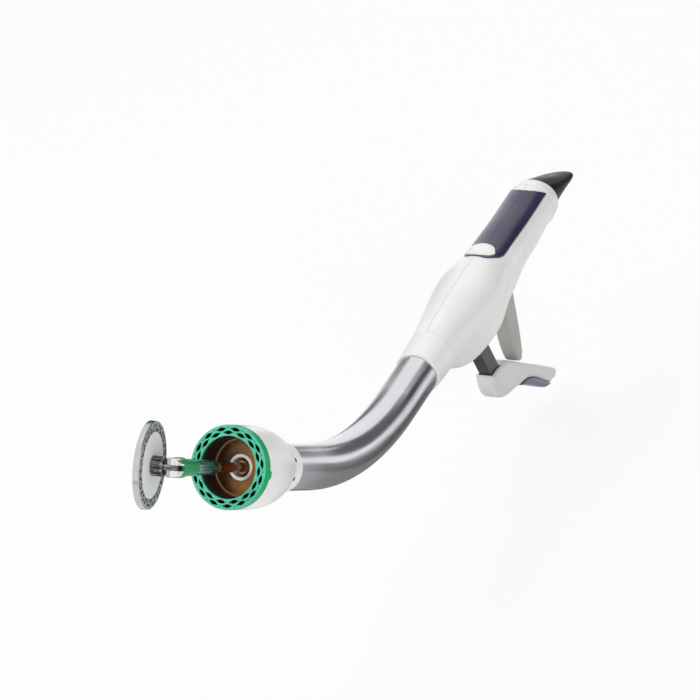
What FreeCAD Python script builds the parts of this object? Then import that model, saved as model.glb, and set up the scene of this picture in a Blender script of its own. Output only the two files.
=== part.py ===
import FreeCAD, Part
import math
import os
from FreeCAD import Placement, Rotation, Vector

# Curved circular stapler with a tilting anvil. Millimetres, +Z up.
# The origin is on the handle's axis at the middle of the hand grip. The handle runs along X,
# with the shaft and the head towards -X and the turning knob towards +X. The instrument is
# symmetric about the XZ plane, apart from the anvil, which is tilted towards +Y.

# Layout of the handle and the curved shaft
NOSE_X = -112.0           # rim of the nose, where the shaft enters the handle
SHAFT_STRAIGHT_REAR = 25.46
BEND_RADIUS = 135.5
BEND_ANGLE = 36.8         # degrees, upwards from the handle's axis
SHAFT_STRAIGHT_FRONT = 24.8
HEAD_LENGTH = 45.0        # from the rear end of the head's neck to the cartridge face

# Tubes
SHAFT_RADIUS = 9.8
SHAFT_WALL = 0.9
SEAT_CLEARANCE = 0.03     # radial gap of pieces that are pushed together
RUNNING_CLEARANCE = 0.06  # radial gap of pieces that slide or turn on each other
GUIDE_RADIUS = 6.4
GUIDE_WALL = 0.9
DRIVER_RADIUS = 8.4
DRIVER_WALL = 1.4
BAND_WIDTH = 3.8
BAND_THICKNESS = 0.6
BAND_OFFSET = 4.2         # from the centre line to the middle of each band

# Cartridge and head
RING_RADIUS = 16.9
RING_BORE = 12.5
RING_FACE_DEPTH = 4.2
RING_CHAMFER = 0.4
RING_SPIGOT_RADIUS = 16.3
RING_SPIGOT_DEPTH = 4.0
STAPLES_PER_ROW = 15
INNER_ROW_RADIUS = 13.8
OUTER_ROW_RADIUS = 15.25
SLOT_LENGTH = 4.9
SLOT_WIDTH = 1.45
SLOT_TIP = 0.5            # share of the slot's length that is at full width
ROW_START = 5.0           # degrees from the top to the first inner slot
DOT_RADIUS = 0.28
DOT_DEPTH = 0.6
LUG_WIDTH = 3.2
LUG_LENGTH = 1.3
LUG_ANGLE = -95.0         # from the top of the head, towards -Y
NECK_RADIUS = 10.4
NECK_START = -39.0        # where the housing's curve ends in the straight neck
CHAMBER_END = -18.0       # end of the wide part of the hollow
NECK_OVERLAP = 7.5        # how far the shaft is pushed into the neck
LATCH_SPAN = 7.8
LATCH_HOLE = 1.5
LATCH_PLACE = 5.4         # from the neck's rear end to the latch holes
LATCH_SLIT = 0.24

# Staples, their pusher and the knife
STAPLE_WIRE = 0.36
STAPLE_CROWN = 3.3
STAPLE_LEG = 4.4
STAPLE_RECESS = 0.7       # leg tips below the cartridge face
FIRING_STROKE = 3.1
FINGER_CLEARANCE = 0.14
PUSHER_PLATE = 2.0
PUSHER_GAP = 0.5          # radial, from the spigot's radius to the pusher plate
KNIFE_RADIUS = 12.35
KNIFE_WALL = 0.4
KNIFE_RECESS = 1.2        # edge below the cartridge face
CARRIER_FACE_DEPTH = 11.0
CARRIER_HUB_LENGTH = 16.5
CARRIER_STEP_DEPTH = 13.0  # front of the guide tube, below the cartridge face
CENTRE_RING_RADIUS = 5.3

# Anvil, its stem and the trocar
ANVIL_RADIUS = 17.0
ANVIL_RIM = 2.5
ANVIL_THICKNESS = 5.4
ANVIL_REACH = 8.2         # from the tilting axis to the staple-forming face
ANVIL_TILT = 77.3         # degrees from straight, as stored
WASHER_RADIUS = 13.1
WASHER_THICKNESS = 1.1
POCKET_LENGTH = 1.5
POCKET_WIDTH = 1.0
POCKET_DEPTH = 0.5
HUB_RADIUS = 3.9
HUB_GROOVES = 10
HUB_GROOVE_DEPTH = 0.35
HUB_GROOVE_WIDTH = 0.6
HINGE_DISTANCE = 43.0     # tilting axis in front of the cartridge face
BARREL_RADIUS = 3.85
BARREL_LENGTH = 1.7       # from the tilting axis back to the collar
FORK_SLOT = 2.2
FORK_SLOT_DEPTH = 2.2     # behind the tilting axis
FORK_REACH = 3.3          # rounded end of the fork, from the tilting axis
TONGUE_CLEARANCE = 0.1
TONGUE_EYE = 2.0
HINGE_PIN_RADIUS = 0.8
COLLAR_RADIUS = 3.95
COLLAR_REAR_RADIUS = 3.3
COLLAR_STEP = 4.7         # length of the wide front part
COLLAR_LENGTH = 13.6
STEM_RADIUS = 2.9
STEM_LENGTH = 18.5        # from the collar to the open end
STEM_CONE = 4.0
STEM_FLUTES = 6
TROCAR_RADIUS = 2.05
TROCAR_LENGTH = 40.0      # in front of its shoulder
TROCAR_BASE_RADIUS = 3.3
TROCAR_SHOULDER = 11.8    # below the cartridge face, as stored
TROCAR_BASE_LENGTH = 12.0
TROCAR_BORE = 4.1

# Handle shell: distance behind the nose rim, half width, top and bottom
NOSE_LENGTH = 16.5
NOSE_FRONT_RADIUS = 10.6
BODY_SECTIONS = (
    (16.5, 11.5, 11.5, 11.5),
    (28.0, 11.9, 13.4, 16.8),
    (40.0, 13.9, 14.3, 23.6),
    (50.0, 15.4, 14.8, 25.6),
    (62.0, 16.5, 15.1, 25.8),
    (72.0, 15.2, 14.8, 25.6),
    (82.0, 13.0, 13.3, 24.0),
    (92.0, 12.3, 12.2, 21.4),
    (103.0, 12.1, 12.1, 17.6),
    (118.0, 11.8, 11.8, 15.6),
    (131.0, 11.8, 11.9, 14.3),
    (145.0, 11.8, 12.0, 13.3),
)
BODY_WALL = 2.1
CAVITY_START = 22.0
CAVITY_END = 136.0
CAP_SECTIONS = (          # the same for the end cap, from the rear end of the shells
    (0.0, 11.5, 11.7, 13.0),
    (0.5, 11.9, 12.0, 13.2),
    (2.5, 12.2, 11.8, 12.6),
    (5.5, 11.9, 11.0, 12.2),
    (7.7, 11.2, 9.9, 11.3),
)
PAD_HALF_OUTLINE = (      # distance behind the nose rim and from the symmetry plane
    (76.8, 0.0), (76.8, 4.2), (77.6, 5.8), (79.8, 7.2), (83.7, 9.0), (87.4, 9.6), (110.0, 9.5), (144.4, 9.5),
    (141.6, 7.0), (139.2, 3.6), (138.4, 0.0),
)
PAD_LOWEST = 4.0          # height above which the pad's outline applies
PAD_THICKNESS = 1.6
PAD_PROUD = 0.5
PAD_SEAM = 0.1
HUMP_CENTRE = 83.3
HUMP_LENGTH = 11.5
HUMP_WIDTH = 14.0
HUMP_HEIGHT = 1.7
HUMP_DOME = 12.0

# Knob, lead screw and nut
KNOB_GAP = 0.4
KNOB_TWIST = 19.0         # degrees, how far the wing is turned as stored
KNOB_SECTIONS = (         # distance from the base, half width and half thickness of the wing
    (0.0, 9.8, 9.8),
    (2.5, 10.8, 9.2),
    (7.0, 13.4, 7.0),
    (11.0, 15.2, 5.2),
    (13.8, 15.6, 4.4),
    (15.6, 14.6, 3.6),
    (16.8, 12.2, 2.8),
)
KNOB_BORE = 9.5
SCREW_RADIUS = 3.0
JOURNAL_RADIUS = 4.0
BUSH_RADIUS = 6.0
NUT_START = 52.0
NUT_LENGTH = 12.0
NUT_SIZE = 9.4
NUT_FORK = 3.0            # depth of the seats for the bands
SCREW_START = 58.0

# Firing lever and its drive
LEVER_PIVOT = (57.0, -15.0)
LEVER_PIN_RADIUS = 2.0
ARM_THICKNESS = 6.0
ARM_DEPTH = 8.6
ARM_SLANT = 21.0          # degrees, backwards from straight down
ARM_LENGTH = 44.0
LEVER_RANGE = 29.0        # degrees of squeeze, to where the staple legs reach the anvil
EYE_RADIUS = 4.0
ROLLER_ARM = 6.2
ROLLER_RADIUS = 1.6
LEVER_GRIP_WIDTH = 10.0
YOKE_START = 27.0
YOKE_LENGTH = 12.0
YOKE_WALL = 2.6
YOKE_RADIUS = 9.1
DRIVER_END = 32.8
TONGUE_BOTTOM = -10.1
TONGUE_TOP = -7.6
TONGUE_WIDTH = 5.6
BRACKET_START = 40.5
BRACKET_THICKNESS = 3.0
SLOT_SIDE_GAP = 0.4
LEVER_SLOT = (50.0, 82.0)
SPRING_WIRE = 0.5         # radius
SPRING_PITCH = 1.05
SPRING_HALF_TURNS = 5
SPRING_LEG = 6.0
PIN_COVER = 1.2           # wall left outside the ends of the pivot pins

# Safety catch
SAFETY_PIVOT = (98.0, -13.0)
SAFETY_PIN_RADIUS = 1.5
SAFETY_WIDTH = 8.0
SAFETY_SLOT = (87.5, 126.0)

# Fasteners
BODY_SCREW_PLACES = ((33.0, -12.8), (76.0, 8.7), (83.5, -14.5), (131.0, -7.5))
BODY_SCREW_RADIUS = 1.1
BODY_SCREW_HEAD = 2.2
SCREW_HEAD_HEIGHT = 1.4
SCREW_DRIVE = 0.9         # radius of the recess for the driver
SCREW_SINK = 3.4          # from the surface to the underside of a head
SCREW_BITE = 5.0          # length of a screw past the parting plane
BOSS_WALL = 1.4

# Values worked out from the ones above
BEND_START_X = NOSE_X - SHAFT_STRAIGHT_REAR
TURN = math.radians(BEND_ANGLE)
HEAD_DIRECTION = Vector(-math.cos(TURN), 0, math.sin(TURN))
BEND_END = Vector(BEND_START_X - BEND_RADIUS * math.sin(TURN), 0, BEND_RADIUS * (1 - math.cos(TURN)))
FACE_CENTRE = BEND_END + HEAD_DIRECTION * (SHAFT_STRAIGHT_FRONT + HEAD_LENGTH)
HEAD_PLACE = Placement(FACE_CENTRE, Rotation(Vector(0, 1, 0), BEND_ANGLE - 90.0))
FRONT_STRAIGHT_END = -(HEAD_LENGTH + SHAFT_STRAIGHT_FRONT)
SLOT_PITCH = 360.0 / STAPLES_PER_ROW
CROWN_DEPTH = STAPLE_RECESS + STAPLE_LEG
BODY_END = BODY_SECTIONS[-1][0]
CAP_LENGTH = CAP_SECTIONS[-1][0]
UP = Vector(0, 0, 1)
ALONG_X = Vector(1, 0, 0)
ALONG_Y = Vector(0, 1, 0)


# Small helpers

def save(name, shape):
    """Write one node of the assembly, after merging faces that continue each other."""
    shape.exportStep(os.path.join("parts", name + ".step"))


def cylinder(radius, low, high):
    """Cylinder about Z between two heights."""
    return Part.makeCylinder(radius, high - low, Vector(0, 0, low))


def ring(outer, inner, low, high):
    """Plain ring about Z between two heights."""
    return cylinder(outer, low, high).cut(cylinder(inner, low - 1, high + 1))


def turned(points):
    """Solid of revolution about Z from a closed outline of (radius, height) corners."""
    corners = [Vector(r, 0, z) for r, z in points]
    outline = Part.makePolygon(corners + [corners[0]])
    return Part.Face(outline).revolve(Vector(0, 0, 0), UP, 360)


def block(x0, x1, y0, y1, z0, z1):
    """Box between two corners."""
    return Part.makeBox(x1 - x0, y1 - y0, z1 - z0, Vector(x0, y0, z0))


def in_head(shape):
    """Move a solid from the head's own frame (Z out of the cartridge face) to the instrument."""
    placed = shape.copy()
    placed.transformShape(HEAD_PLACE.toMatrix())
    return placed


def cross_rod(x, z, radius, half_width):
    """Cylinder along Y at a place given from the nose rim."""
    return Part.makeCylinder(radius, 2 * half_width, Vector(NOSE_X + x, -half_width, z), ALONG_Y)


def x_rod(radius, start, end):
    """Cylinder along the handle's axis between two distances behind the nose rim."""
    return Part.makeCylinder(radius, end - start, Vector(NOSE_X + start, 0, 0), ALONG_X)


def plate(outline, half_width):
    """Flat piece in the symmetry plane, from a closed edge loop of distances behind the nose."""
    face = Part.Face(outline)
    face.translate(Vector(NOSE_X, -half_width, 0))
    return face.extrude(Vector(0, 2 * half_width, 0))


def at(x, z):
    """Point of an outline in the symmetry plane."""
    return Vector(x, 0, z)


def smooth_loop(curves):
    """Closed wire of straight runs and smooth curves; each run starts where the last one ends."""
    edges = []
    for points in curves:
        if len(points) == 2:
            edges.append(Part.LineSegment(points[0], points[1]).toShape())
        else:
            curve = Part.BSplineCurve()
            curve.interpolate(points)
            edges.append(curve.toShape())
    return Part.Wire(edges)


def bent_rod(radius, head_end, handle_end):
    """Round bar along the shaft's centre line, from a depth in the head to a place in the handle."""
    front = Part.makeCylinder(radius, head_end - FRONT_STRAIGHT_END, Vector(0, 0, FRONT_STRAIGHT_END))
    front = in_head(front)
    circle = Part.Circle(Vector(BEND_START_X, 0, 0), ALONG_X, radius)
    disc = Part.Face(Part.Wire(circle.toShape()))
    bend = disc.revolve(Vector(BEND_START_X, 0, BEND_RADIUS), ALONG_Y, BEND_ANGLE)
    length = NOSE_X + handle_end - BEND_START_X
    rear = Part.makeCylinder(radius, length, Vector(BEND_START_X, 0, 0), ALONG_X)
    return front.fuse(bend).fuse(rear)


def bent_tube(outer, wall, head_end, handle_end):
    """Tube along the shaft's centre line."""
    return bent_rod(outer, head_end, handle_end).cut(bent_rod(outer - wall, head_end + 1, handle_end + 1))


def slot_prism(length, width, low, high):
    """Six-sided lens-like bar across X: long along Y, pointed at both ends."""
    straight = SLOT_TIP * length / 2
    corners = [(0, length / 2), (width / 2, straight / 2), (width / 2, -straight / 2),
               (0, -length / 2), (-width / 2, -straight / 2), (-width / 2, straight / 2)]
    points = [Vector(x, y, low) for x, y in corners]
    face = Part.Face(Part.makePolygon(points + [points[0]]))
    return face.extrude(Vector(0, 0, high - low))


def row_places():
    """Radius and angle of every staple slot, inner row first."""
    places = []
    for i in range(STAPLES_PER_ROW):
        places.append((INNER_ROW_RADIUS, ROW_START + i * SLOT_PITCH))
        places.append((OUTER_ROW_RADIUS, ROW_START + (i + 0.5) * SLOT_PITCH))
    return places


def around(shape, radius, angle):
    """Copy of a solid moved out to a radius and turned about Z."""
    copy = shape.copy()
    copy.translate(Vector(radius, 0, 0))
    copy.rotate(Vector(0, 0, 0), UP, angle)
    return copy


def half_of(shape, side):
    """The part of a solid on one side of the symmetry plane."""
    reach = 60.0
    keep = block(NOSE_X - 10, NOSE_X + 200, 0, reach, -reach, reach)
    if side < 0:
        keep = block(NOSE_X - 10, NOSE_X + 200, -reach, 0, -reach, reach)
    return shape.common(keep)


# Head: cartridge, staples, pusher, knife and housing

def cartridge_ring():
    """Green ring with two staggered rows of slots, a spigot and a snap lug on its side."""
    edge = RING_RADIUS - RING_CHAMFER
    body = turned([(RING_BORE, -RING_FACE_DEPTH), (RING_RADIUS, -RING_FACE_DEPTH),
                   (RING_RADIUS, -RING_CHAMFER), (edge, 0), (RING_BORE, 0)])
    spigot_end = -RING_FACE_DEPTH - RING_SPIGOT_DEPTH
    body = body.fuse(ring(RING_SPIGOT_RADIUS, RING_BORE, spigot_end, -RING_FACE_DEPTH))
    body = body.fuse(lug_form(0).common(ring(RING_RADIUS, RING_SPIGOT_RADIUS - 0.5, spigot_end, 0)))
    slot = slot_prism(SLOT_LENGTH, SLOT_WIDTH, spigot_end - 1, 1)
    cuts = [around(slot, radius, angle) for radius, angle in row_places()]
    dot = cylinder(DOT_RADIUS, -DOT_DEPTH, 1)
    for i in range(STAPLES_PER_ROW):
        cuts.append(around(dot, OUTER_ROW_RADIUS + 0.5, ROW_START + i * SLOT_PITCH))
    return body.cut(Part.makeCompound(cuts)).removeSplitter()


def lug_form(gap):
    """Block at the place of the ring's snap lug, grown by a gap."""
    half = LUG_WIDTH / 2 + gap
    low = -RING_FACE_DEPTH - LUG_LENGTH - gap
    lug = block(-4, 4, -half, half, low, -RING_FACE_DEPTH + 0.5)
    return around(lug, RING_RADIUS, LUG_ANGLE)


def staple():
    """Open staple: a crown across the slot and two legs that point out of the face."""
    half = STAPLE_WIRE / 2
    side = STAPLE_CROWN / 2
    low = -CROWN_DEPTH
    crown = block(-half, half, -side, side, low, low + STAPLE_WIRE)
    legs = [block(-half, half, y - half, y + half, low, low + STAPLE_LEG)
            for y in (-side + half, side - half)]
    return crown.fuse(legs).removeSplitter()


def staples():
    """All staples in their slots."""
    one = staple()
    return Part.makeCompound([around(one, radius, angle) for radius, angle in row_places()])


def staple_pusher():
    """Ring with one finger behind every staple."""
    front = -(RING_FACE_DEPTH + RING_SPIGOT_DEPTH + FIRING_STROKE + 0.4)
    outer = RING_SPIGOT_RADIUS - PUSHER_GAP
    body = ring(outer, KNIFE_RADIUS + SEAT_CLEARANCE, front - PUSHER_PLATE, front)
    finger = slot_prism(SLOT_LENGTH - 2 * FINGER_CLEARANCE, SLOT_WIDTH - 2 * FINGER_CLEARANCE,
                        front - PUSHER_PLATE, -CROWN_DEPTH - 0.05)
    fingers = [around(finger, radius, angle) for radius, angle in row_places()]
    keep_out = cylinder(KNIFE_RADIUS + SEAT_CLEARANCE, -40, 1)
    return body.fuse(fingers).cut(keep_out).removeSplitter()


def pusher_rear():
    """Depth of the pusher plate's rear face, where knife and carrier meet it."""
    return -(RING_FACE_DEPTH + RING_SPIGOT_DEPTH + FIRING_STROKE + 0.4) - PUSHER_PLATE


def circular_knife():
    """Thin ring ground to an edge on its inside."""
    rear = pusher_rear()
    inner = KNIFE_RADIUS - KNIFE_WALL
    edge = -KNIFE_RECESS
    outline = [(inner, rear), (KNIFE_RADIUS, rear), (KNIFE_RADIUS, edge), (KNIFE_RADIUS - 0.05, edge),
               (inner, edge - 0.8)]
    return turned(outline)


def knife_carrier():
    """Amber boss inside the knife, with a rim, a flange under the pusher and a hollow hub."""
    rear = pusher_rear()
    bore = CENTRE_RING_RADIUS + RUNNING_CLEARANCE
    wide = GUIDE_RADIUS + RUNNING_CLEARANCE
    step = -CARRIER_STEP_DEPTH
    boss = KNIFE_RADIUS - KNIFE_WALL - SEAT_CLEARANCE
    face = -CARRIER_FACE_DEPTH
    flange_end = rear - PUSHER_PLATE
    hub_end = flange_end - CARRIER_HUB_LENGTH
    outer = RING_SPIGOT_RADIUS - PUSHER_GAP
    rim = boss - 0.8
    outline = [(wide, hub_end), (DRIVER_RADIUS, hub_end), (DRIVER_RADIUS, flange_end),
               (outer, flange_end), (outer, rear), (boss, rear), (boss, face), (rim, face),
               (rim, face - 0.5), (bore, face - 0.5), (bore, step), (wide, step)]
    return turned(outline)


def trocar_guide():
    """White ring that centres the trocar, pushed over the front of the guide tube."""
    face = -CARRIER_FACE_DEPTH + 0.2
    step = -CARRIER_STEP_DEPTH - SEAT_CLEARANCE
    spigot = GUIDE_RADIUS - GUIDE_WALL - SEAT_CLEARANCE
    body = ring(CENTRE_RING_RADIUS, TROCAR_BORE, step, face)
    return body.fuse(ring(spigot, TROCAR_BORE, step - 4.0, step))


def head_housing():
    """White bell that holds the cartridge and narrows to the neck around the shaft."""
    front = -RING_FACE_DEPTH
    seat = RING_SPIGOT_RADIUS + SEAT_CLEARANCE
    seat_end = front - RING_SPIGOT_DEPTH
    neck_seat = -HEAD_LENGTH + NECK_OVERLAP
    chamber = RING_SPIGOT_RADIUS - 0.4
    wide_end = -14.0
    curve = Part.BSplineCurve()
    last = Vector(NECK_RADIUS, 0, NECK_START)
    curve.interpolate([Vector(RING_RADIUS, 0, wide_end), Vector(16.5, 0, -20.0), Vector(15.5, 0, -26.0),
                       Vector(13.6, 0, -31.5), Vector(11.6, 0, -35.8), last])
    bore = SHAFT_RADIUS + SEAT_CLEARANCE
    drive = SHAFT_RADIUS - SHAFT_WALL
    corners = [last, Vector(NECK_RADIUS, 0, -HEAD_LENGTH), Vector(bore, 0, -HEAD_LENGTH),
               Vector(bore, 0, neck_seat), Vector(drive, 0, neck_seat),
               Vector(drive, 0, neck_seat + 1.5), Vector(chamber, 0, CHAMBER_END),
               Vector(chamber, 0, seat_end), Vector(seat, 0, seat_end), Vector(seat, 0, front),
               Vector(RING_RADIUS, 0, front), Vector(RING_RADIUS, 0, wide_end)]
    edges = [curve.toShape()]
    for a, b in zip(corners, corners[1:]):
        edges.append(Part.LineSegment(a, b).toShape())
    body = Part.Face(Part.Wire(edges)).revolve(Vector(0, 0, 0), UP, 360)
    return body.cut(Part.makeCompound(latch_cuts() + [lug_form(SEAT_CLEARANCE)]))


def latch_cuts():
    """Two small holes joined by a slit on each side of the neck, around the snap latches."""
    middle = -HEAD_LENGTH + LATCH_PLACE
    slit = LATCH_SPAN / 2
    cuts = latch_holes()
    for y0, y1 in ((-NECK_RADIUS - 3, 1 - SHAFT_RADIUS), (SHAFT_RADIUS - 1, NECK_RADIUS + 3)):
        cuts.append(block(-slit, slit, y0, y1, middle - LATCH_SLIT / 2, middle + LATCH_SLIT / 2))
    return cuts


def latch_holes():
    """The latches' holes, through the walls of neck and shaft on both sides."""
    middle = -HEAD_LENGTH + LATCH_PLACE
    hole = LATCH_HOLE / 2
    inside = DRIVER_RADIUS - 3
    holes = []
    for x in (-LATCH_SPAN / 2, LATCH_SPAN / 2):
        for y0, y1 in ((-NECK_RADIUS - 3, -inside), (inside, NECK_RADIUS + 3)):
            holes.append(block(x - hole, x + hole, y0, y1, middle - hole, middle + hole))
    return holes


# Anvil with its stem, and the trocar

def anvil_head():
    """Domed disc with staple pockets on its face and a hinged hub, in its own straight frame."""
    face = ANVIL_REACH
    recess = face + WASHER_THICKNESS + 0.1
    top = face + ANVIL_THICKNESS
    rim_top = face + ANVIL_RIM
    rim = Vector(ANVIL_RADIUS, 0, rim_top)
    crown = Vector(0, 0, top)
    rise = top - rim_top
    centre = top - (ANVIL_RADIUS ** 2 + rise ** 2) / (2 * rise)
    middle = ANVIL_RADIUS / 2
    shoulder = Vector(middle, 0, centre + math.sqrt((top - centre) ** 2 - middle ** 2))
    dome = Part.Arc(rim, shoulder, crown).toShape()
    well = WASHER_RADIUS + SEAT_CLEARANCE
    corners = [crown, Vector(0, 0, FORK_REACH + 0.3), Vector(HUB_RADIUS - 0.5, 0, FORK_REACH + 0.3),
               Vector(HUB_RADIUS, 0, FORK_REACH + 1.2), Vector(HUB_RADIUS, 0, recess),
               Vector(well, 0, recess), Vector(well, 0, face), Vector(ANVIL_RADIUS - 0.3, 0, face),
               Vector(ANVIL_RADIUS, 0, face + 0.3), rim]
    edges = [dome]
    for a, b in zip(corners, corners[1:]):
        edges.append(Part.LineSegment(a, b).toShape())
    body = Part.Face(Part.Wire(edges)).revolve(Vector(0, 0, 0), UP, 360)
    half = FORK_SLOT / 2 - TONGUE_CLEARANCE
    eye = Part.makeCylinder(TONGUE_EYE, 2 * half, Vector(-half, 0, 0), ALONG_X)
    tongue = eye.fuse(block(-half, half, -TONGUE_EYE, TONGUE_EYE, 0, FORK_REACH + 1))
    body = body.fuse(tongue).cut(hub_grooves())
    hole = Part.makeCylinder(HINGE_PIN_RADIUS + RUNNING_CLEARANCE, 20, Vector(-10, 0, 0), ALONG_X)
    cup = block(-POCKET_WIDTH / 2, POCKET_WIDTH / 2, -POCKET_LENGTH / 2, POCKET_LENGTH / 2,
                face - 1, face + POCKET_DEPTH)
    pockets = []
    for radius, angle in row_places():
        for shift in (-1, 1):
            one = cup.copy()
            one.translate(Vector(0, shift * (STAPLE_CROWN / 2 - 0.5), 0))
            pockets.append(around(one, radius, angle))
    return body.cut(hole).cut(Part.makeCompound(pockets)).removeSplitter()


def hub_grooves():
    """Grooves along the hub, from its front end to just below the washer."""
    half = HUB_GROOVE_WIDTH / 2
    start = HUB_RADIUS - HUB_GROOVE_DEPTH
    groove = block(start, HUB_RADIUS + 1, -half, half, FORK_REACH, ANVIL_REACH - 0.3)
    pitch = 360.0 / HUB_GROOVES
    return Part.makeCompound([around(groove, 0, (i + 0.5) * pitch) for i in range(HUB_GROOVES)])


def anvil_washer():
    """White disc in the middle of the anvil that the knife cuts against."""
    low = ANVIL_REACH + 0.1
    return ring(WASHER_RADIUS, HUB_RADIUS + SEAT_CLEARANCE, low, low + WASHER_THICKNESS)


def tilt(shape):
    """Turn a piece of the anvil about the tilting axis and move it to its place in the head."""
    copy = shape.copy()
    copy.rotate(Vector(0, 0, 0), ALONG_X, -ANVIL_TILT)
    copy.translate(Vector(0, 0, HINGE_DISTANCE))
    return in_head(copy)


def stem_end():
    """Height of the stem's open end, measured from the tilting axis."""
    return -(BARREL_LENGTH + COLLAR_LENGTH + STEM_LENGTH)


def anvil_rod():
    """Stem: forked barrel, seat for the collar, fluted shank and a cone, bored for the trocar."""
    collar_low = -(BARREL_LENGTH + COLLAR_LENGTH)
    end = stem_end()
    barrel = cylinder(BARREL_RADIUS, -BARREL_LENGTH, FORK_REACH)
    rounding = Part.makeCylinder(FORK_REACH, 20, Vector(-10, 0, 0), ALONG_X)
    lower = block(-9, 9, -9, 9, -BARREL_LENGTH, 0)
    barrel = barrel.common(rounding.fuse(lower))
    slot = block(-FORK_SLOT / 2, FORK_SLOT / 2, -9, 9, -FORK_SLOT_DEPTH, 9)
    pin = Part.makeCylinder(HINGE_PIN_RADIUS, 20, Vector(-10, 0, 0), ALONG_X)
    shank = cylinder(STEM_RADIUS, end + STEM_CONE, -BARREL_LENGTH)
    cone = Part.makeCone(TROCAR_RADIUS + 0.35, STEM_RADIUS, STEM_CONE, Vector(0, 0, end))
    groove = block(STEM_RADIUS - 0.4, STEM_RADIUS + 1, -0.45, 0.45, end + STEM_CONE + 0.7, collar_low - 0.6)
    grooves = [around(groove, 0, i * 360.0 / STEM_FLUTES + 90) for i in range(STEM_FLUTES)]
    bore = cylinder(TROCAR_RADIUS + RUNNING_CLEARANCE, end - 1, -FORK_SLOT_DEPTH - 2)
    whole = barrel.fuse([shank, cone]).cut(Part.makeCompound(grooves))
    return whole.cut(slot).cut(pin).cut(bore).removeSplitter()


def anvil_collar():
    """Green sleeve on the stem: a wide front ring, a groove and a slimmer rear part."""
    top = -BARREL_LENGTH
    low = top - COLLAR_LENGTH
    middle = top - COLLAR_STEP
    inner = STEM_RADIUS + SEAT_CLEARANCE
    small = COLLAR_REAR_RADIUS
    outline = [(inner, low), (small - 0.25, low), (small, low + 0.3), (small, middle - 0.3),
               (small - 0.2, middle - 0.2), (small - 0.2, middle + 0.1), (COLLAR_RADIUS, middle + 0.3),
               (COLLAR_RADIUS, top - 0.3), (COLLAR_RADIUS - 0.25, top), (inner, top)]
    return turned(outline)


def anvil_pivot_pin():
    """Cross pin of the tilting joint, inside the fork's outline."""
    half = math.sqrt(BARREL_RADIUS ** 2 - HINGE_PIN_RADIUS ** 2) - 0.15
    return Part.makeCylinder(HINGE_PIN_RADIUS, 2 * half, Vector(-half, 0, 0), ALONG_X)


def on_stem(shape):
    """Move a piece of the stem from the tilting axis to its place in the head."""
    copy = shape.copy()
    copy.translate(Vector(0, 0, HINGE_DISTANCE))
    return in_head(copy)


def trocar():
    """Bronze spike with a shoulder and a guiding piston behind it."""
    shoulder = -TROCAR_SHOULDER
    tip = shoulder + TROCAR_LENGTH
    tail = shoulder - TROCAR_BASE_LENGTH
    piston = GUIDE_RADIUS - GUIDE_WALL - RUNNING_CLEARANCE
    flat = BAND_OFFSET - BAND_THICKNESS / 2 - RUNNING_CLEARANCE
    outline = [(0, tail), (piston, tail), (piston, tail + 3.0), (TROCAR_BASE_RADIUS, tail + 3.6),
               (TROCAR_BASE_RADIUS, shoulder - 0.6), (TROCAR_BASE_RADIUS - 0.6, shoulder),
               (TROCAR_RADIUS, shoulder), (TROCAR_RADIUS, tip - 6.0), (0, tip)]
    return turned(outline).common(block(-flat, flat, -9, 9, tail - 1, tip + 1))


# Shaft and the drives that run through it

def shaft_tube():
    """Curved steel tube from the head's neck to the handle, with the holes of the latches."""
    tube = bent_tube(SHAFT_RADIUS, SHAFT_WALL, -HEAD_LENGTH + NECK_OVERLAP, CAVITY_START - 0.2)
    return tube.cut(in_head(Part.makeCompound(latch_holes())))


def guide_tube():
    """Inner tube that carries the trocar's guide ring and leads the draw band."""
    front = -CARRIER_STEP_DEPTH - 2 * SEAT_CLEARANCE
    return bent_tube(GUIDE_RADIUS, GUIDE_WALL, front, BRACKET_START + BRACKET_THICKNESS)


def carrier_end():
    """Depth of the rear end of the knife carrier's hub."""
    return pusher_rear() - PUSHER_PLATE - CARRIER_HUB_LENGTH


def driver_tube():
    """Flexible tube that pushes the knife carrier from the handle."""
    return bent_tube(DRIVER_RADIUS, DRIVER_WALL, carrier_end() - 0.05, DRIVER_END)


def draw_bands():
    """Two steel bands from the trocar's piston through the shaft to the nut on the lead screw."""
    bands = []
    for side in (-1, 1):
        middle = side * BAND_OFFSET
        bands.append(bent_strip(middle - BAND_THICKNESS / 2, middle + BAND_THICKNESS / 2))
    return Part.makeCompound(bands)


def bent_strip(low, high):
    """Flat strip along the shaft between two heights above its centre line."""
    half = BAND_WIDTH / 2
    head_end = -TROCAR_SHOULDER - TROCAR_BASE_LENGTH + 3.0
    front = in_head(block(low, high, -half, half, FRONT_STRAIGHT_END, head_end))
    corners = [Vector(BEND_START_X, -half, low), Vector(BEND_START_X, half, low),
               Vector(BEND_START_X, half, high), Vector(BEND_START_X, -half, high)]
    section = Part.Face(Part.makePolygon(corners + [corners[0]]))
    bend = section.revolve(Vector(BEND_START_X, 0, BEND_RADIUS), ALONG_Y, BEND_ANGLE)
    rear = block(BEND_START_X, NOSE_X + NUT_START + NUT_FORK - 0.05, -half, half, low, high)
    return front.fuse([bend, rear]).removeSplitter()


# Handle shell

def body_loop(section, inset):
    """Closed smooth loop of one handle section, moved inwards by an inset."""
    x, width, top, bottom = section
    points = []
    for i in range(16):
        angle = 2 * math.pi * i / 16
        height = top if i <= 8 else bottom
        points.append(Vector(NOSE_X + x, (width - inset) * math.cos(angle),
                             (height - inset) * math.sin(angle)))
    curve = Part.BSplineCurve()
    curve.interpolate(points, True)
    return Part.Wire(curve.toShape())


def body_form(inset):
    """Loft through the handle's sections, outside for no inset and inside for the wall."""
    return Part.makeLoft([body_loop(section, inset) for section in BODY_SECTIONS], True, False)


def slab(start, end):
    """Everything between two distances behind the nose rim."""
    return block(NOSE_X + start, NOSE_X + end, -60, 60, -60, 60)


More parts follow.
